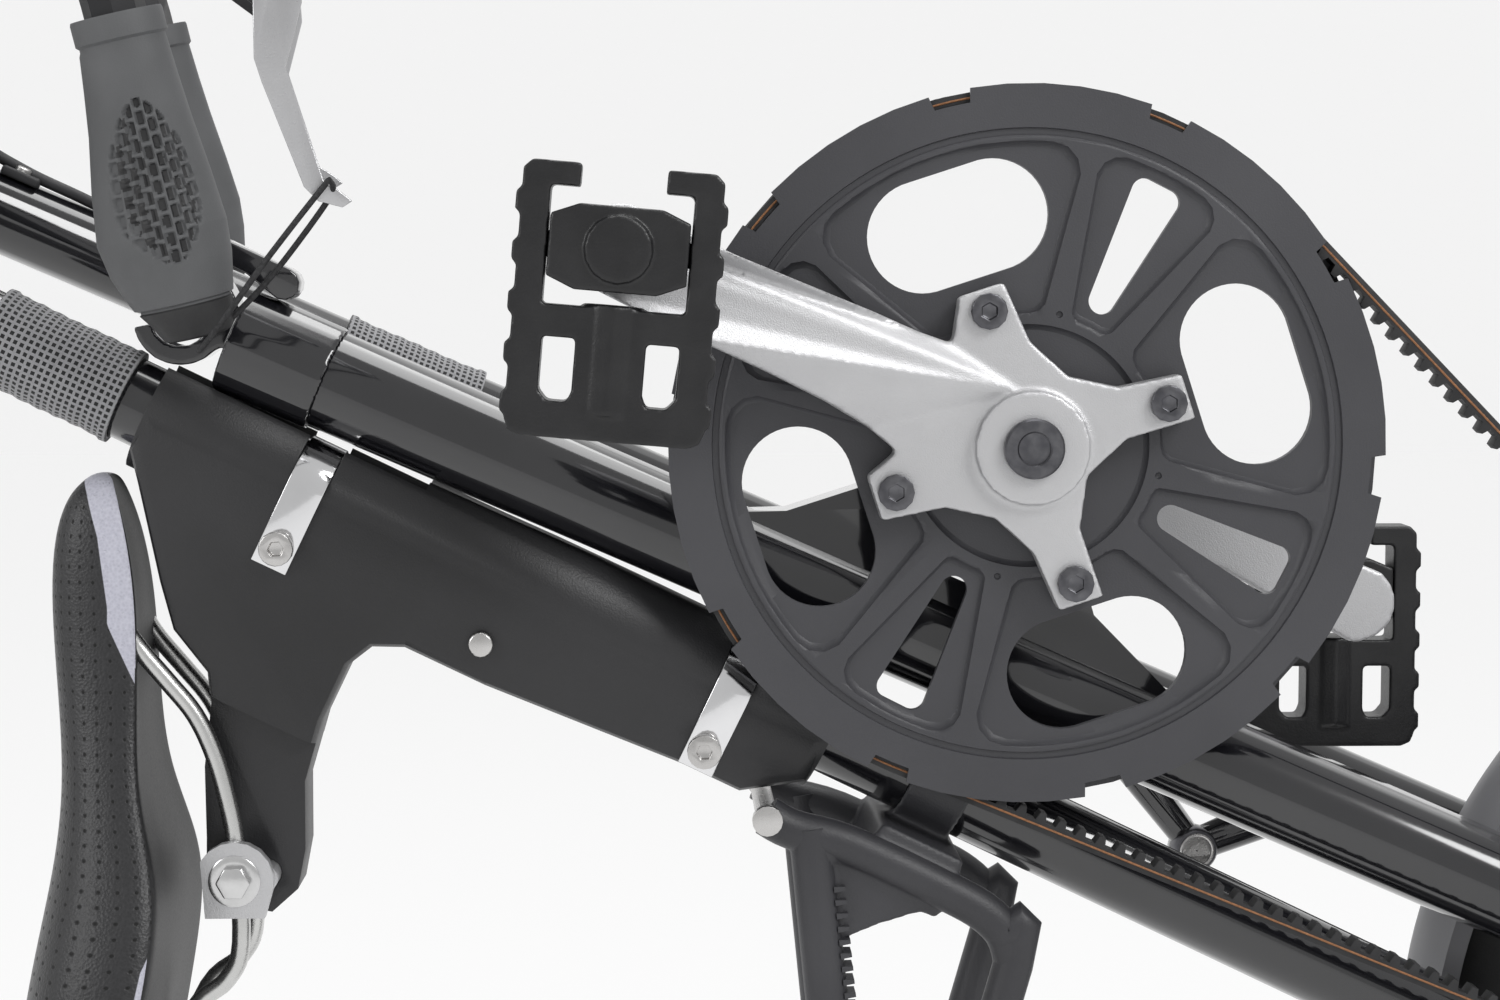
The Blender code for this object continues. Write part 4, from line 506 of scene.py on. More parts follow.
valley = lofted("rim_valley", wheel_rows(valley_section, round_steps), bracket, closed=True)
web_back = front - web_thickness
web_section = [(47.0, front), (112.0, front), (112.0, web_back), (47.0, web_back)]
web = lofted("pulley_web", wheel_rows(web_section, round_steps), bracket, closed=True)
pulley = skin("belt_pulley")
for cutter, deed in (
    (web, "UNION"),
    (fields, "DIFFERENCE"),
    (hub_step, "DIFFERENCE"),
    (valley, "DIFFERENCE"),
    (windows, "DIFFERENCE"),
):
    sink = pulley.modifiers.new("sink", "BOOLEAN")
    sink.operation = deed
    sink.object = cutter
    only(pulley)
    bpy.ops.object.modifier_apply(modifier=sink.name)
    bpy.data.objects.remove(cutter, do_unlink=True)
fitted(pulley, "crank_set", nylon, 28.0, ("belt_pulley",))


# Toothed belt: black rubber round orange-brown cords, which show as a line along the side of the belt.
# The small sprocket at the rear wheel is steel.

belt_rubber = finish(
    "belt_rubber", (0.010, 0.010, 0.011), (0.020, 0.020, 0.021),
    120.0, (0.5, 0.66), 1800.0, 0.2,
)
dressed("toothed_belt", "bottom_frame", belt_rubber, 0.7, 32.0, 2, 20.0)
cord_brown = finish("belt_cord", (0.20, 0.085, 0.032), (0.30, 0.13, 0.05), 700.0, (0.5, 0.7), 1800.0, 0.2)


def eased(p, q, r, s, t):
    """A value between q and r on a smooth line through p, q, r and s."""
    return 0.5 * (
        2 * q + (r - p) * t + (2 * p - 5 * q + 4 * r - s) * t * t + (3 * q - p - 3 * r + s) * t ** 3
    )


def bar(name, points, radius, where, turns=8, smooth=6):
    """A round bar along a smooth line through the points, in millimetres, with capped ends."""
    line = []
    padded = [points[0]] + list(points) + [points[-1]]
    for a, b, c, d in zip(padded, padded[1:], padded[2:], padded[3:]):
        for i in range(smooth):
            t = i / smooth
            line.append([eased(*four, t) for four in zip(a, b, c, d)])
    line.append(list(points[-1]))
    curve = bpy.data.curves.new(name, "CURVE")
    curve.dimensions = "3D"
    curve.bevel_depth = radius * MM
    curve.bevel_resolution = turns // 2 - 1
    curve.use_fill_caps = True
    spline = curve.splines.new("POLY")
    spline.points.add(len(line) - 1)
    for point, spot in zip(spline.points, line):
        point.co = (*(where @ (Vector(spot) * MM)), 1.0)
    made = bpy.data.objects.new(name, curve)
    bpy.context.scene.collection.objects.link(made)
    only(made)
    bpy.ops.object.convert(target="MESH")
    made = bpy.context.object
    bpy.ops.object.mode_set(mode="EDIT")
    bpy.ops.mesh.select_all(action="SELECT")
    bpy.ops.mesh.remove_doubles(threshold=0.000002)
    bpy.ops.mesh.normals_make_consistent(inside=False)
    bpy.ops.object.mode_set(mode="OBJECT")
    return made


tooth_pitch = 8.0
pulley_teeth = 100
sprocket_teeth = 28
pulley_pitch = tooth_pitch * pulley_teeth / (2 * math.pi)
sprocket_pitch = tooth_pitch * sprocket_teeth / (2 * math.pi)
drive = Vector([axle - crank for axle, crank in zip(rear_axle_at, bracket_at)])
down_line = math.degrees(math.atan2(drive.z, drive.x))
lean = math.degrees(math.asin((pulley_pitch - sprocket_pitch) / drive.length))
upper = down_line + 90.0 - lean
lower = down_line - 90.0 + lean
cord_lift = 1.2
cord_radius = 0.42
belt_side = -84.7
cord_line = [polar(pulley_pitch + cord_lift, upper + (360.0 - upper + lower) * i / 90.0) for i in range(91)]
for i in range(41):
    turn = lower + (upper - lower) * i / 40.0
    cord_line.append(polar(sprocket_pitch + cord_lift, turn, (drive.x, drive.z)))
cord_line.append(cord_line[0])
cord_points = [(x, belt_side, z) for x, z in cord_line]
belt_cord = bar("belt_cord_line", cord_points, cord_radius, bracket, 8, 1)
fitted(belt_cord, "bottom_frame", cord_brown, 60.0)
dressed("rear_sprocket", "sprocket", pin_steel, 0.3, 30.0)


# Crank: an aluminium arm and its four-arm spider in one piece, blasted to a satin silver. Four dark steel
# bolts hold the pulley to the spider, and a dark steel cap closes the axle.

satin = finish(
    "satin_blasted_aluminium", (0.52, 0.52, 0.53), (0.60, 0.60, 0.61),
    14.0, (0.40, 0.52), 2200.0, 0.35, metal=0.75,
)
blued = finish(
    "blued_bolt_steel", (0.10, 0.10, 0.11), (0.16, 0.16, 0.17), 200.0, (0.24, 0.4), 900.0, 0.06, metal=1.0,
)
softened("right_crank", "crank_set", satin, 1.0, 7)
softened("left_crank", "crank_set", satin, 1.2, 6)
dressed("bracket_spindle", "crank_set", pin_steel, 0.6)
for i in range(4):
    dressed(f"chain_bolt_{i + 1}", "crank_set", blued, 0.5, 40.0, 2, 50.0)


def ring_rows(profile, steps):
    """A profile of (radius, distance towards the viewer) set round a line along -Y."""
    turns = [2 * math.pi * i / steps for i in range(steps)]
    return [[(r * math.cos(t), -h, r * math.sin(t)) for t in turns] for r, h in profile]


cap_profile = [
    (11.0, 103.3), (11.0, 106.2), (10.2, 107.0), (6.4, 107.0), (5.8, 106.4), (5.8, 104.6), (0.4, 104.3),
]
cap = lofted("axle_cap", ring_rows(cap_profile, 48), bracket)
fitted(cap, "crank_set", blued, 40.0, ("crank_cap",))


# Folding pedals: moulded black nylon. A block runs on the crank's stub, and a frame with gripping nubs
# and two hooks at its open end is hinged to it.

pedal_nylon = finish(
    "pedal_nylon", (0.006, 0.006, 0.007), (0.013, 0.013, 0.014),
    60.0, (0.30, 0.46), 1100.0, 0.25,
)
for side in ("right", "left"):
    softened(side + "_pedal_block", side + "_pedal", pedal_nylon, 0.7, 3)
    softened(side + "_pedal_frame", side + "_pedal_cage", pedal_nylon, 0.8, 4)


# Seat moulding: one dark plastic moulding on the seat tube, with a keel and an arm that carries the saddle.
# Two chromed bands with a bolt each clamp it.

moulding_black = finish(
    "seat_moulding_plastic", (0.016, 0.016, 0.017), (0.025, 0.025, 0.027), 10.0, (0.38, 0.5), 1300.0, 0.3,
)
band_chrome = finish(
    "band_chrome", (0.72, 0.72, 0.73), (0.80, 0.80, 0.81), 30.0, (0.07, 0.14), 600.0, 0.02, metal=1.0,
)
dressed("seat_moulding", "seat_frame", moulding_black, 1.0, 42.0, 2, 45.0)
for name in ("upper_band", "lower_band"):
    dressed(name, "seat_frame", band_chrome, 0.3)
    dressed(name + "_bolt", "seat_frame", pin_steel, 0.7)
dressed("moulding_bolt", "seat_frame", pin_steel, 0.9)


# Saddle: a soft pad under a perforated black cover, with a grey skirt at its nose and tail. It lies on
# rails of satin steel wire, which an aluminium clamp with one bolt holds to the moulding's arm.

saddle = bracket @ placed((-330.0, -52.0, -150.0), (-90.0, "Y"))
saddle_sections = (
    # along, half width, top, skirt
    (-137.0, 34.0, 38.0, 22.0),
    (-128.0, 58.0, 46.0, 8.0),
    (-104.0, 74.0, 49.0, -2.0),
    (-70.0, 76.0, 44.0, -8.0),
    (-35.0, 67.0, 38.0, -15.0),
    (-8.0, 54.0, 32.0, -15.0),
    (22.0, 40.0, 28.0, -5.0),
    (55.0, 29.0, 30.5, -4.0),
    (90.0, 23.0, 33.5, -4.0),
    (116.0, 20.0, 32.0, 0.0),
    (132.0, 14.0, 26.0, 5.0),
    (139.0, 6.0, 17.0, 8.0),
)
rows = []
for along, half, top, skirt in saddle_sections:
    crown = [(1.0, 0.0), (1.02, 0.35), (0.93, 0.72), (0.62, 0.95), (0.22, 0.97)]
    right = [(half * across, skirt + (top - skirt) * up) for across, up in crown]
    ring = right + [(-y, z) for y, z in reversed(right)]
    ring += [(-half * 0.8, skirt + 3.0), (half * 0.8, skirt + 3.0)]
    rows.append([(along, y, z) for y, z in ring])
pad = lofted("saddle_leather_pad", rows, saddle)
soft = pad.modifiers.new("soft", "SUBSURF")
soft.levels = soft.render_levels = 4
only(pad)
bpy.ops.object.modifier_apply(modifier=soft.name)
lay = saddle.inverted()
seam_depth = 0.9
seam_width = 1.6
top_from = 18.0
for vertex in pad.data.vertices:
    at = lay @ vertex.co / MM
    if at.z > top_from:
        # the cover dips along a line on each side of the middle
        seam = 0.32 * max(10.0, 70.0 - abs(at.x + 60.0) * 0.5)
        at.z -= seam_depth * math.exp(-((abs(at.y) - seam) / seam_width) ** 2)
    vertex.co = saddle @ (at * MM)

leather = bpy.data.materials.new("perforated_leather")
leather.use_nodes = True
nodes, links = leather.node_tree.nodes, leather.node_tree.links
shader = nodes["Principled BSDF"]
shader.inputs["Sheen Weight"].default_value = 0.1
way = nodes.new("ShaderNodeUVMap")
way.uv_map = "UVMap"
rows_of = nodes.new("ShaderNodeVectorMath")
rows_of.operation = "MULTIPLY"
hole_pitch = (0.0058, 0.0052)
rows_of.inputs[1].default_value = (1 / hole_pitch[0], 1 / hole_pitch[1], 0.0)
links.new(way.outputs["UV"], rows_of.inputs[0])
cell = nodes.new("ShaderNodeVectorMath")
cell.operation = "FRACTION"
links.new(rows_of.outputs[0], cell.inputs[0])
off = nodes.new("ShaderNodeVectorMath")
off.operation = "SUBTRACT"
off.inputs[1].default_value = (0.5, 0.5, 0.0)
links.new(cell.outputs[0], off.inputs[0])
reach = nodes.new("ShaderNodeVectorMath")
reach.operation = "LENGTH"
links.new(off.outputs[0], reach.inputs[0])
hole = nodes.new("ShaderNodeMapRange")
hole.inputs["From Min"].default_value = 0.08
hole.inputs["From Max"].default_value = 0.16
links.new(reach.outputs["Value"], hole.inputs["Value"])
spots = nodes.new("ShaderNodeTexCoord")
pebble = nodes.new("ShaderNodeTexVoronoi")
pebble.inputs["Scale"].default_value = 900.0
links.new(spots.outputs["Object"], pebble.inputs["Vector"])
# the perforations are painted near black, as painted shade inside the holes
dark = nodes.new("ShaderNodeMix")
dark.data_type = "RGBA"
dark.inputs["A"].default_value = (0.002, 0.002, 0.002, 1.0)
hide = nodes.new("ShaderNodeValToRGB")
hide.color_ramp.elements[0].color = (0.010, 0.010, 0.011, 1.0)
hide.color_ramp.elements[1].color = (0.022, 0.022, 0.024, 1.0)
links.new(pebble.outputs["Distance"], hide.inputs["Fac"])
links.new(hide.outputs["Color"], dark.inputs["B"])
links.new(hole.outputs["Result"], dark.inputs["Factor"])
edge = nodes.new("ShaderNodeAttribute")
edge.attribute_name = "welt"
below = nodes.new("ShaderNodeMapRange")
below.inputs["From Min"].default_value = -0.15
below.inputs["From Max"].default_value = 0.15
links.new(edge.outputs["Fac"], below.inputs["Value"])
two_tone = nodes.new("ShaderNodeMix")
two_tone.data_type = "RGBA"
grey_side = nodes.new("ShaderNodeValToRGB")
grey_side.color_ramp.elements[0].color = (0.40, 0.40, 0.47, 1.0)
grey_side.color_ramp.elements[1].color = (0.52, 0.52, 0.59, 1.0)
links.new(pebble.outputs["Distance"], grey_side.inputs["Fac"])
links.new(dark.outputs["Result"], two_tone.inputs["A"])
links.new(grey_side.outputs["Color"], two_tone.inputs["B"])
links.new(below.outputs["Result"], two_tone.inputs["Factor"])
links.new(two_tone.outputs["Result"], shader.inputs["Base Color"])
dull = nodes.new("ShaderNodeMapRange")
dull.inputs["To Min"].default_value = 0.85
dull.inputs["To Max"].default_value = 0.42
links.new(hole.outputs["Result"], dull.inputs["Value"])
links.new(dull.outputs["Result"], shader.inputs["Roughness"])
total = nodes.new("ShaderNodeMath")
total.operation = "MULTIPLY_ADD"
total.inputs[1].default_value = 3.0
links.new(hole.outputs["Result"], total.inputs[0])
links.new(pebble.outputs["Distance"], total.inputs[2])
bump = nodes.new("ShaderNodeBump")
bump.inputs["Strength"].default_value = 0.35
bump.inputs["Distance"].default_value = 0.0004
links.new(total.outputs[0], bump.inputs["Height"])
links.new(bump.outputs["Normal"], shader.inputs["Normal"])

base_black = finish(
    "saddle_base_black", (0.012, 0.012, 0.013), (0.02, 0.02, 0.021), 60.0, (0.4, 0.6), 1200.0, 0.2,
)
fitted(pad, "seat_frame", leather, 60.0, ("saddle_pad",))
pad.data.materials.append(base_black)
marks = [row[0] for row in saddle_sections]
welt = pad.data.attributes.new("welt", "FLOAT", "POINT")
for vertex in pad.data.vertices:
    at = lay @ vertex.co / MM
    k = min(max([j for j in range(len(marks)) if marks[j] <= at.x] or [0]), len(marks) - 2)
    t = min(max((at.x - marks[k]) / (marks[k + 1] - marks[k]), 0.0), 1.0)
    low = saddle_sections[k][3] * (1 - t) + saddle_sections[k + 1][3] * t
    nose = min(1.0, max(0.0, (at.x - 58.0) / 26.0))
    tail = min(1.0, max(0.0, (-22.0 - at.x) / 14.0)) * min(1.0, max(0.0, (at.x + 128.0) / 14.0))
    welt.data[vertex.index].value = low + 12.5 * nose + 6.0 * tail - at.z if nose + tail > 0.0 else -1.0
for face in pad.data.polygons:
    # the underside is the black base
    if (lay.to_3x3() @ face.normal).z < -0.72:
        face.material_index = 1

rail_steel = finish(
    "satin_rail_steel", (0.56, 0.56, 0.55), (0.66, 0.66, 0.65), 40.0, (0.22, 0.34), 800.0, 0.05, metal=1.0,
)
rail_side = [
    (-98.0, -3.8), (-62.0, -20.0), (-50.0, -33.0), (-36.0, -38.5), (0.0, -37.0), (20.0, -33.5),
    (36.0, -29.0), (50.0, -22.5), (62.0, -13.0), (74.0, -3.0), (82.0, 2.0),
]
rail_apart = 20.0
rail_line = [(x, -rail_apart, z) for x, z in rail_side]
rail_line += [(90.0, -12.0, 4.0), (90.0, 12.0, 4.0)]
rail_line += [(x, rail_apart, z) for x, z in reversed(rail_side)]
rails = bar("saddle_rail_wire", rail_line, 3.5, saddle, 14, 5)
fitted(rails, "seat_frame", rail_steel, 50.0, ("saddle_rails",))
dressed("saddle_clamp", "seat_frame", satin, 1.0, 35.0, 3, 50.0)
clamp_hex = finish(
    "clamp_bolt_steel", (0.60, 0.60, 0.60), (0.70, 0.70, 0.70), 60.0, (0.14, 0.3), 900.0, 0.06, metal=1.0,
)
dressed("clamp_bolt", "seat_frame", clamp_hex, 0.6)
clamp_line = bracket @ placed((-292.5, -52.0, -161.0))
washer_profile = [(9.6, 28.55), (9.6, 29.6), (9.0, 30.0), (6.9, 30.0)]
washer = lofted("clamp_washer", ring_rows(washer_profile, 40), clamp_line)
fitted(washer, "seat_frame", clamp_hex)


# Straps: two bands of woven elastic with a pale square mesh, pulled round the seat tube and the front tube.
# Each has a thicker hem at both ends.

mesh_cloth = bpy.data.materials.new("square_mesh_elastic")
mesh_cloth.use_nodes = True
nodes, links = mesh_cloth.node_tree.nodes, mesh_cloth.node_tree.links
shader = nodes["Principled BSDF"]
shader.inputs["Roughness"].default_value = 0.85
shader.inputs["Sheen Weight"].default_value = 0.2
way = nodes.new("ShaderNodeUVMap")
way.uv_map = "UVMap"
squares = nodes.new("ShaderNodeVectorMath")
squares.operation = "MULTIPLY"
thread_pitch = 0.0026
squares.inputs[1].default_value = (1 / thread_pitch, 1 / thread_pitch, 0.0)
links.new(way.outputs["UV"], squares.inputs[0])
part = nodes.new("ShaderNodeVectorMath")
part.operation = "FRACTION"
links.new(squares.outputs[0], part.inputs[0])
axes = nodes.new("ShaderNodeSeparateXYZ")
links.new(part.outputs[0], axes.inputs[0])
threads = []
for axis in ("X", "Y"):
    step = nodes.new("ShaderNodeMath")
    step.operation = "GREATER_THAN"
    step.inputs[1].default_value = 0.58
    links.new(axes.outputs[axis], step.inputs[0])
    threads.append(step)
thread = nodes.new("ShaderNodeMath")
thread.operation = "MAXIMUM"
links.new(threads[0].outputs[0], thread.inputs[0])
links.new(threads[1].outputs[0], thread.inputs[1])
spots = nodes.new("ShaderNodeTexCoord")
fuzz = nodes.new("ShaderNodeTexNoise")
fuzz.inputs["Scale"].default_value = 1500.0
links.new(spots.outputs["Object"], fuzz.inputs["Vector"])
pale = nodes.new("ShaderNodeValToRGB")
pale.color_ramp.elements[0].color = (0.20, 0.20, 0.21, 1.0)
pale.color_ramp.elements[1].color = (0.36, 0.36, 0.37, 1.0)
links.new(fuzz.outputs["Fac"], pale.inputs["Fac"])
woven = nodes.new("ShaderNodeMix")
woven.data_type = "RGBA"
woven.inputs["A"].default_value = (0.010, 0.010, 0.011, 1.0)
links.new(pale.outputs["Color"], woven.inputs["B"])
links.new(thread.outputs[0], woven.inputs["Factor"])
links.new(woven.outputs["Result"], shader.inputs["Base Color"])
raised = nodes.new("ShaderNodeBump")
raised.inputs["Strength"].default_value = 0.6
raised.inputs["Distance"].default_value = 0.0003
links.new(thread.outputs[0], raised.inputs["Height"])
links.new(raised.outputs["Normal"], shader.inputs["Normal"])


def strap(name, node, body, where, start, end, inner):
    """A band round a tube along X, thicker at its two hems, that lies a little unevenly."""
    count = 22
    middle = end - start - 8.0
    rings = [(start, 0.9), (start, 2.1), (start + 2.5, 2.3), (start + 4.0, 1.5)]
    rings += [(start + 4.0 + middle * i / count, 1.5 + 0.25 * math.sin(i * 1.9)) for i in range(1, count)]
    rings += [(end - 4.0, 1.5), (end - 2.5, 2.3), (end, 2.1), (end, 0.9)]
    turns = [2 * math.pi * i / 64 for i in range(64)]
    outer = []
    for x, thick in rings:
        radii = [inner + thick + 0.12 * math.sin(3 * t + x * 0.2) for t in turns]
        outer.append([(x, radius * math.cos(t), radius * math.sin(t)) for t, radius in zip(turns, radii)])
    hollow = [[(x, inner * math.cos(t), inner * math.sin(t)) for t in turns] for x in (end, start)]
    made = lofted(name, outer + hollow, where, closed=True)
    fitted(made, body, mesh_cloth, 50.0, (node,))
    return made


front_line = placed((-475.4, 39.9, 553.1), (23.9, "Y"), (7.2, "Z"))
seat_tube_line = seat_line @ placed((0.0, 0.0, -65.0))
strap_inner = 16.3
strap("seat_tube_strap", "tube_strap", "seat_frame", seat_tube_line, -809.0, -754.0, strap_inner)
strap("front_tube_strap", "front_strap", "front_frame", front_line, 178.0, 238.0, strap_inner)


# Rack: a moulded frame of round members in dark grey plastic, bolted on below the seat tube and standing
# on the floor. A strip of ribs runs down its near leg.

rack_grey = finish(
    "rack_plastic", (0.030, 0.030, 0.034), (0.044, 0.044, 0.049),
    14.0, (0.40, 0.54), 1200.0, 0.3,
)
softened("rack", "seat_frame", rack_grey, 1.4, 10)
dressed("rack_bolt", "seat_frame", pin_steel, 0.7)
lean = math.radians(seat_lean)
leg_x, leg_z = -453.0, -102.2
run_x, run_z = 0.523, -0.852
leg_fall = -run_z * math.cos(lean) + run_x * math.sin(lean)
leg_top = 200.0 + leg_z * math.cos(lean) - leg_x * math.sin(lean)
leg_side = math.sqrt(1.0 - min(1.0, leg_fall / math.hypot(run_z, run_x)) ** 2)
leg_end = (leg_top - 9.5 * leg_side - 1.0) / leg_fall
leg_line = [(leg_x + run_x * d, leg_z + run_z * d) for d in (0.0, 60.0, 120.0, 223.0, leg_end)]
strut_line = [
    (-473.0, -99.0), (-462.0, -99.5), (-440.0, -95.8), (-400.0, -95.8), (-384.0, -97.0), (-374.0, -101.0),
    (-366.0, -110.0), leg_line[3],
]
rack_half = 36.0
for side, y in (("near", -rack_half), ("far", rack_half)):
    strut = bar("rack_strut_" + side, [(x, y, z) for x, z in strut_line], 7.5, seat_line, 20, 4)
    fitted(strut, "seat_frame", rack_grey, 50.0)
    leg_points = [(-457.0, y, -96.0)] + [(x, y, z) for x, z in leg_line]
    leg = bar("rack_leg_" + side, leg_points, 8.0, seat_line, 20, 1)
    fitted(leg, "seat_frame", rack_grey, 50.0)
rib_section = ((-1.1, -2.2), (1.1, -2.2), (0.7, 2.0), (-0.7, 2.0))
rib_rows = [[(x, y, z) for x, z in rib_section] for y in (-5.5, 5.5)]
rib_pieces = []
for i in range(26):
    d = 16.0 + 5.0 * i
    rib_at = (leg_x + run_x * d + 7.4, -rack_half, leg_z + run_z * d + 4.6)
    rib_pieces.append(lofted("rack_rib", rib_rows, seat_line @ placed(rib_at, (58.5, "Y"))))
ribs = joined(rib_pieces)
ribs.name = "rack_ribs"
fitted(ribs, "seat_frame", rack_grey, 30.0)


# Front tube: the long gloss black tube with its head barrel, its hub lug and the ball on its bracket that
# the claw snaps over. The stem sits below its top, and a guide clip for the brake cable is screwed on.

dressed("front_tube", "front_frame", enamel, 1.0)
ball = skin("ball_bracket", 0.8)
fitted(ball, "front_frame", enamel, 50.0, ("ball_bracket",))
for name, start, foot, radius in (
    ("ball_leg_left", (533.0, -5.5, -14.0), (599.0, -5.5, -46.5), 6.5),
    ("ball_leg_right", (643.0, -5.5, -15.0), (607.0, -5.5, -46.5), 7.5),
):
    leg = bar(name, [start, foot], radius, front_line, 20, 1)
    fitted(leg, "front_frame", enamel, 50.0)
boss_place = front_line @ placed((603.0, -5.5, -49.5))
boss_profile = [
    (9.6, 2.0), (9.6, 9.0), (8.8, 10.0), (6.4, 10.0), (5.9, 9.5),
    (5.9, 8.0), (3.4, 8.0), (3.4, 5.5), (0.3, 5.5),
]
boss = lofted("ball_boss", ring_rows(boss_profile, 40), boss_place)
fitted(boss, "front_frame", blued, 40.0)
ring_profile = [(7.7, 9.9), (7.7, 10.5), (7.0, 10.7), (6.5, 10.5), (6.5, 9.9)]
boss_ring = lofted("ball_boss_ring", ring_rows(ring_profile, 40), boss_place)
fitted(boss_ring, "front_frame", pin_steel, 40.0)
clip_place = front_line @ placed((34.6, -4.0, 0.0))
clip_outline = ((-8.0, -5.0), (8.0, -5.0), (8.0, 5.0), (-8.0, 5.0))
clip = lofted("cable_guide_clip", [[(x, y, z) for x, y in clip_outline] for z in (15.0, 19.0)], clip_place)
only(clip)
rounded = clip.modifiers.new("rounded", "BEVEL")
rounded.width = 0.0012
rounded.segments = 3
bpy.ops.object.modifier_apply(modifier=rounded.name)
fitted(clip, "front_frame", black_casting)
screw_profile = ((4.0, 19.0), (4.0, 20.3), (3.0, 21.0), (1.8, 21.0), (1.68, 19.8), (0.2, 19.8))
screw_turns = [t / 12 * math.pi for t in range(24)]
screw_rows = [[(r * math.cos(t), r * math.sin(t), h) for t in screw_turns] for r, h in screw_profile]
screw = lofted("cable_guide_screw", screw_rows, clip_place)
fitted(screw, "front_frame", pin_steel, 40.0)
dressed("stem", "front_frame", black_casting, 1.0, 40.0)
dressed("front_caliper", "front_frame", black_casting, 0.8)
dressed("front_nut", "front_frame", pin_steel, 0.8)


# Front wheel: the same casting, tyre and brake disc as at the rear. It turns on the stub axle at the end
# of the front tube, which holds it from one side.

front_hub = front_line @ placed((900.463, -42.0, 12.0))
tyre("front_tyre_tread", "front_tyre", "front_roller", front_hub, 199.0)
dressed("front_wheel", "front_roller", enamel, 0.8)
dressed("front_disc", "front_roller", disc_steel, 0.3)


# Handlebar: two bent black bars that fold down at the stem. Each has a grey rubber grip with a honeycomb
# palm, a black perch and a satin aluminium brake lever.

grip_rubber = finish(
    "grip_grey_rubber", (0.085, 0.087, 0.090), (0.110, 0.112, 0.116), 30.0, (0.55, 0.7), 1500.0, 0.2,
)
# black rubber for the grip's end, and painted shade for the floors of the palm's cells
cap_rubber_and_cell_shade = finish(
    "grip_cap_black_and_cell_shade", (0.015, 0.015, 0.016), (0.028, 0.028, 0.029), 60.0, (0.5, 0.65), 1400.0, 0.2,
)
bar_black = finish(
    "bar_black_anodised", (0.012, 0.012, 0.014), (0.022, 0.022, 0.024),
    40.0, (0.3, 0.42), 1200.0, 0.06, metal=0.4,
)
lever_satin = finish(
    "lever_satin_aluminium", (0.50, 0.50, 0.51), (0.58, 0.58, 0.59),
    30.0, (0.24, 0.36), 1500.0, 0.15, metal=0.95,
)
bar_bend = 24.8
bend_radius = 60.0
socket_depth = 5.5
palm_radius = 17.0
grip_sections = (
    # along the grip, half height above, half height below, half width
    (0.0, 16.2, 16.2, 16.2),
    (1.0, 16.5, 16.5, 16.5),
    (8.6, 16.5, 16.5, 16.5),
    (9.6, 15.4, 15.4, 15.4),
    (10.6, 15.4, 15.4, 15.4),
    (12.0, 15.5, 16.0, 15.5),
    (24.0, 16.0, 17.6, 15.7),
    (40.0, 17.0, 20.0, 16.0),
    (60.0, 18.8, 24.2, 16.6),
    (78.0, 20.0, 27.0, 17.0),
    (90.0, 18.9, 25.2, 16.6),
    (99.0, 17.0, 22.0, 15.8),
    (103.4, 16.0, 20.0, 15.4),
    (104.0, 14.4, 18.0, 14.4),
    (104.8, 14.4, 18.0, 14.4),
    (105.4, 15.3, 18.6, 15.0),
    (110.0, 14.0, 15.5, 14.5),
    (114.0, 13.5, 13.5, 13.5),
    (116.4, 12.2, 12.2, 12.2),
    (117.0, 10.6, 10.6, 10.6),
)


def grip_at(along):
    """Half height above, half height below and half width of the grip at a distance along it."""
    for before, after in zip(grip_sections, grip_sections[1:]):
        if before[0] <= along <= after[0]:
            t = (along - before[0]) / (after[0] - before[0])
            return [a + (b - a) * t for a, b in zip(before[1:], after[1:])]
    return grip_sections[-1][1:]


def honeycomb(along, across):
    """How deep the palm is sunk here: oblong cells in staggered columns inside a leaf-shaped patch."""
    cell_depth = 1.3
    column_pitch = 3.7
    cell_pitch = 6.2
    share = (along - 30.0) / 60.0
    if not 0.0 < share < 1.0:
        return 0.0
    leaf = 14.0 * math.sin(math.pi * share) ** 0.6
    if abs(across) > leaf:
        return 0.0
    column = round(across / column_pitch)
    shift = 0.5 if column % 2 else 0.0
    row = round(along / cell_pitch - shift) + shift
    u = (across - column * column_pitch) / 1.35
    v = (along - row * cell_pitch) / 2.35
    edge = min(1.0, (leaf - abs(across)) / 0.8)
    return cell_depth * edge * max(0.0, min(1.0, (1.15 - (u ** 4 + v ** 4) ** 0.25) / 0.3))


def from_palm(turn, out):
    """An angle round the grip, counted from the middle of its palm."""
    palm = turn - (math.pi if out < 0 else 0.0)
    return (palm + math.pi) % (2 * math.pi) - math.pi


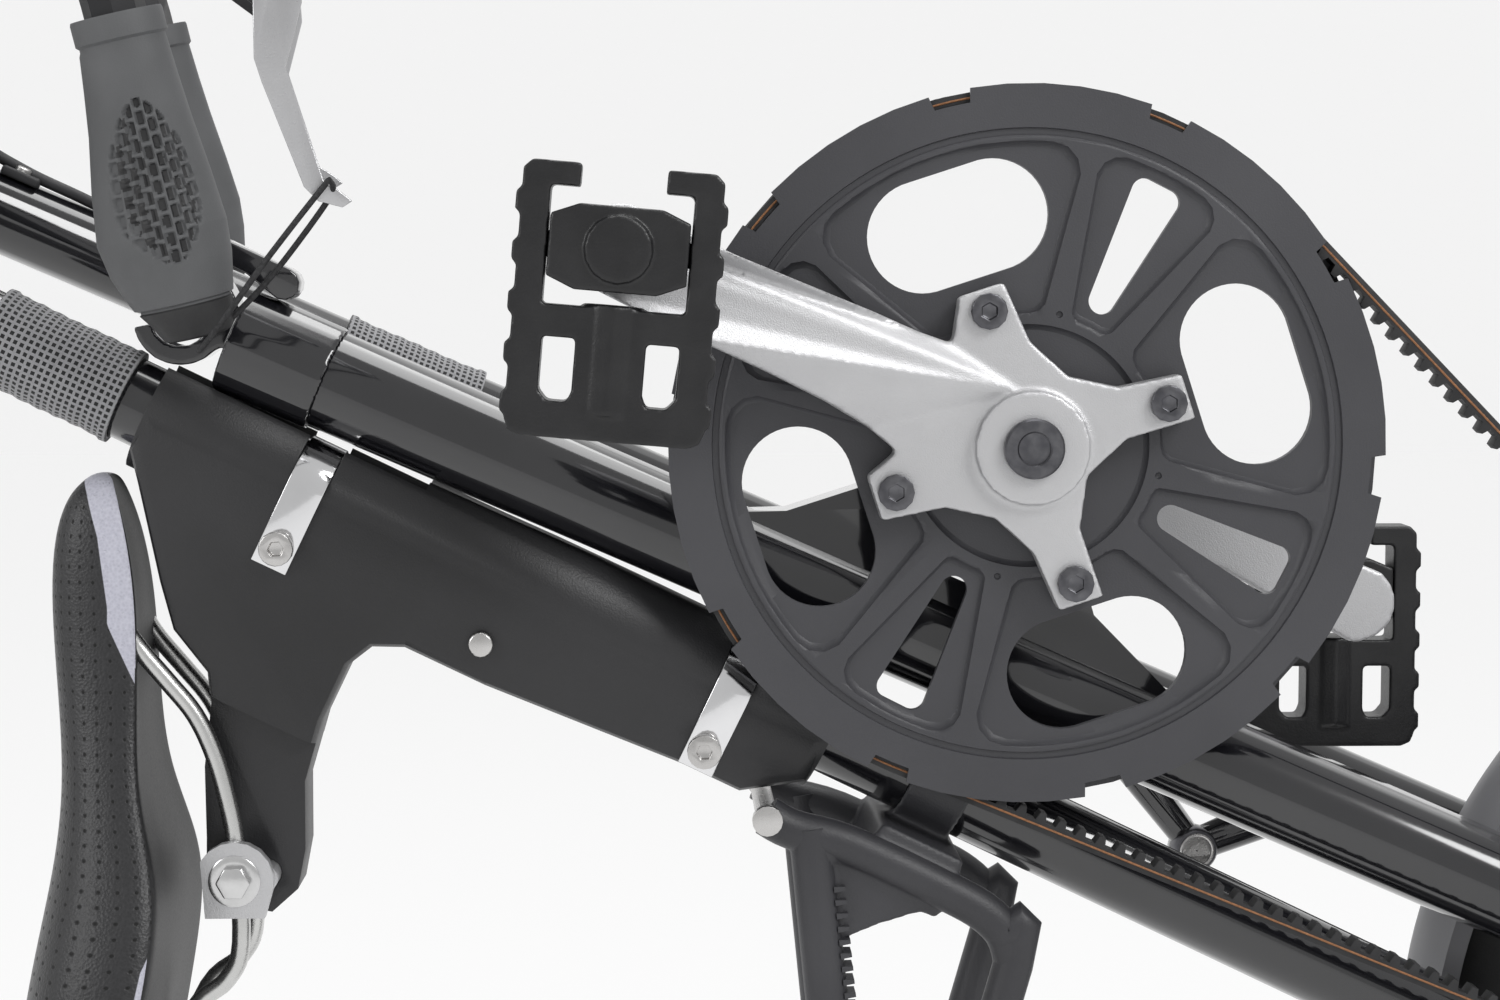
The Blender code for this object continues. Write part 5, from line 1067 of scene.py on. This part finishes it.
for side, out in (("right", -1.0), ("left", 1.0)):
    body = side + "_half"
    hinge = front_line @ placed((-58.5, -42.0 + out * 113.0, 160.0), (28.0, "Y"))
    bend = math.radians(bar_bend)
    bend_x = 101.0 + bend_radius * math.sin(bend)
    bend_z = -bend_radius * (1 - math.cos(bend))
    grip_x = bend_x + socket_depth * math.cos(bend)
    grip_z = bend_z - socket_depth * math.sin(bend)
    grip_line = hinge @ placed((grip_x, 0.0, grip_z), (bar_bend, "Y"))
    steps = sorted(set([s[0] for s in grip_sections] + [12.0 + 0.5 * i for i in range(180)]))
    rows = []
    for along in steps:
        above, below, half = grip_at(along)
        row = []
        for i in range(200):
            turn = 2 * math.pi * i / 200
            palm = from_palm(turn, out)
            sunk = honeycomb(along, palm * palm_radius) if abs(palm) < 1.2 else 0.0
            height = (above if math.sin(turn) > 0 else below) - sunk
            row.append((along, (half - sunk) * math.cos(turn), height * math.sin(turn)))
        rows.append(row)
    grip = lofted(side + "_grip_rubber", rows, grip_line)
    fitted(grip, body, grip_rubber, 30.0, (side + "_grip",))
    grip.data.materials.append(cap_rubber_and_cell_shade)
    back = grip_line.inverted()
    for face in grip.data.polygons:
        at = back @ face.center / MM
        palm = from_palm(math.atan2(at.z, at.y), out)
        # the grip's end is black rubber, and the floors of the palm's cells are painted black as painted
        # shade in the cells
        if at.x > 104.5 or (abs(palm) < 1.2 and honeycomb(at.x, palm * palm_radius) > 0.7):
            face.material_index = 1
    dressed(side + "_bar", body, bar_black, 0.0, 40.0)
    dressed(side + "_perch", body, black_casting, 0.8, 40.0)
    dressed(side + "_brake_lever", side + "_lever", lever_satin, 1.6, 40.0, 4, 50.0)


# Parking loop: a closed loop of black braided elastic, hooked over the lever's end and the grip's end.
# The black cable housing comes up from the guide clip to the stem.

elastic = finish(
    "braided_elastic", (0.008, 0.008, 0.009), (0.03, 0.03, 0.032),
    900.0, (0.6, 0.8), 2400.0, 0.6,
)
loop_points = [
    (-296.3, -119.0, 548.9), (-306.2, -122.0, 536.2), (-319.2, -126.0, 518.8), (-332.8, -130.0, 499.3),
    (-339.4, -126.0, 491.5), (-343.6, -110.0, 489.0), (-340.7, -100.0, 493.7), (-330.0, -99.0, 503.7),
    (-317.9, -100.0, 516.6), (-301.5, -108.0, 536.8), (-295.7, -112.0, 545.5),
]
parking_loop = bar("parking_loop", loop_points + [loop_points[0]], 1.1, Matrix.Identity(4), 8, 4)
fitted(parking_loop, "right_half", elastic, 60.0)
housing_points = [
    (84.0, -4.0, 17.4), (60.0, -4.0, 18.6), (34.6, -4.0, 19.6), (12.0, -4.5, 24.0), (-14.0, -10.0, 40.0),
    (-38.0, -22.0, 66.0), (-50.0, -32.0, 96.0),
]
housing = bar("front_cable_housing", housing_points, 2.4, front_line, 12, 6)
fitted(housing, "front_frame", black_casting, 60.0)
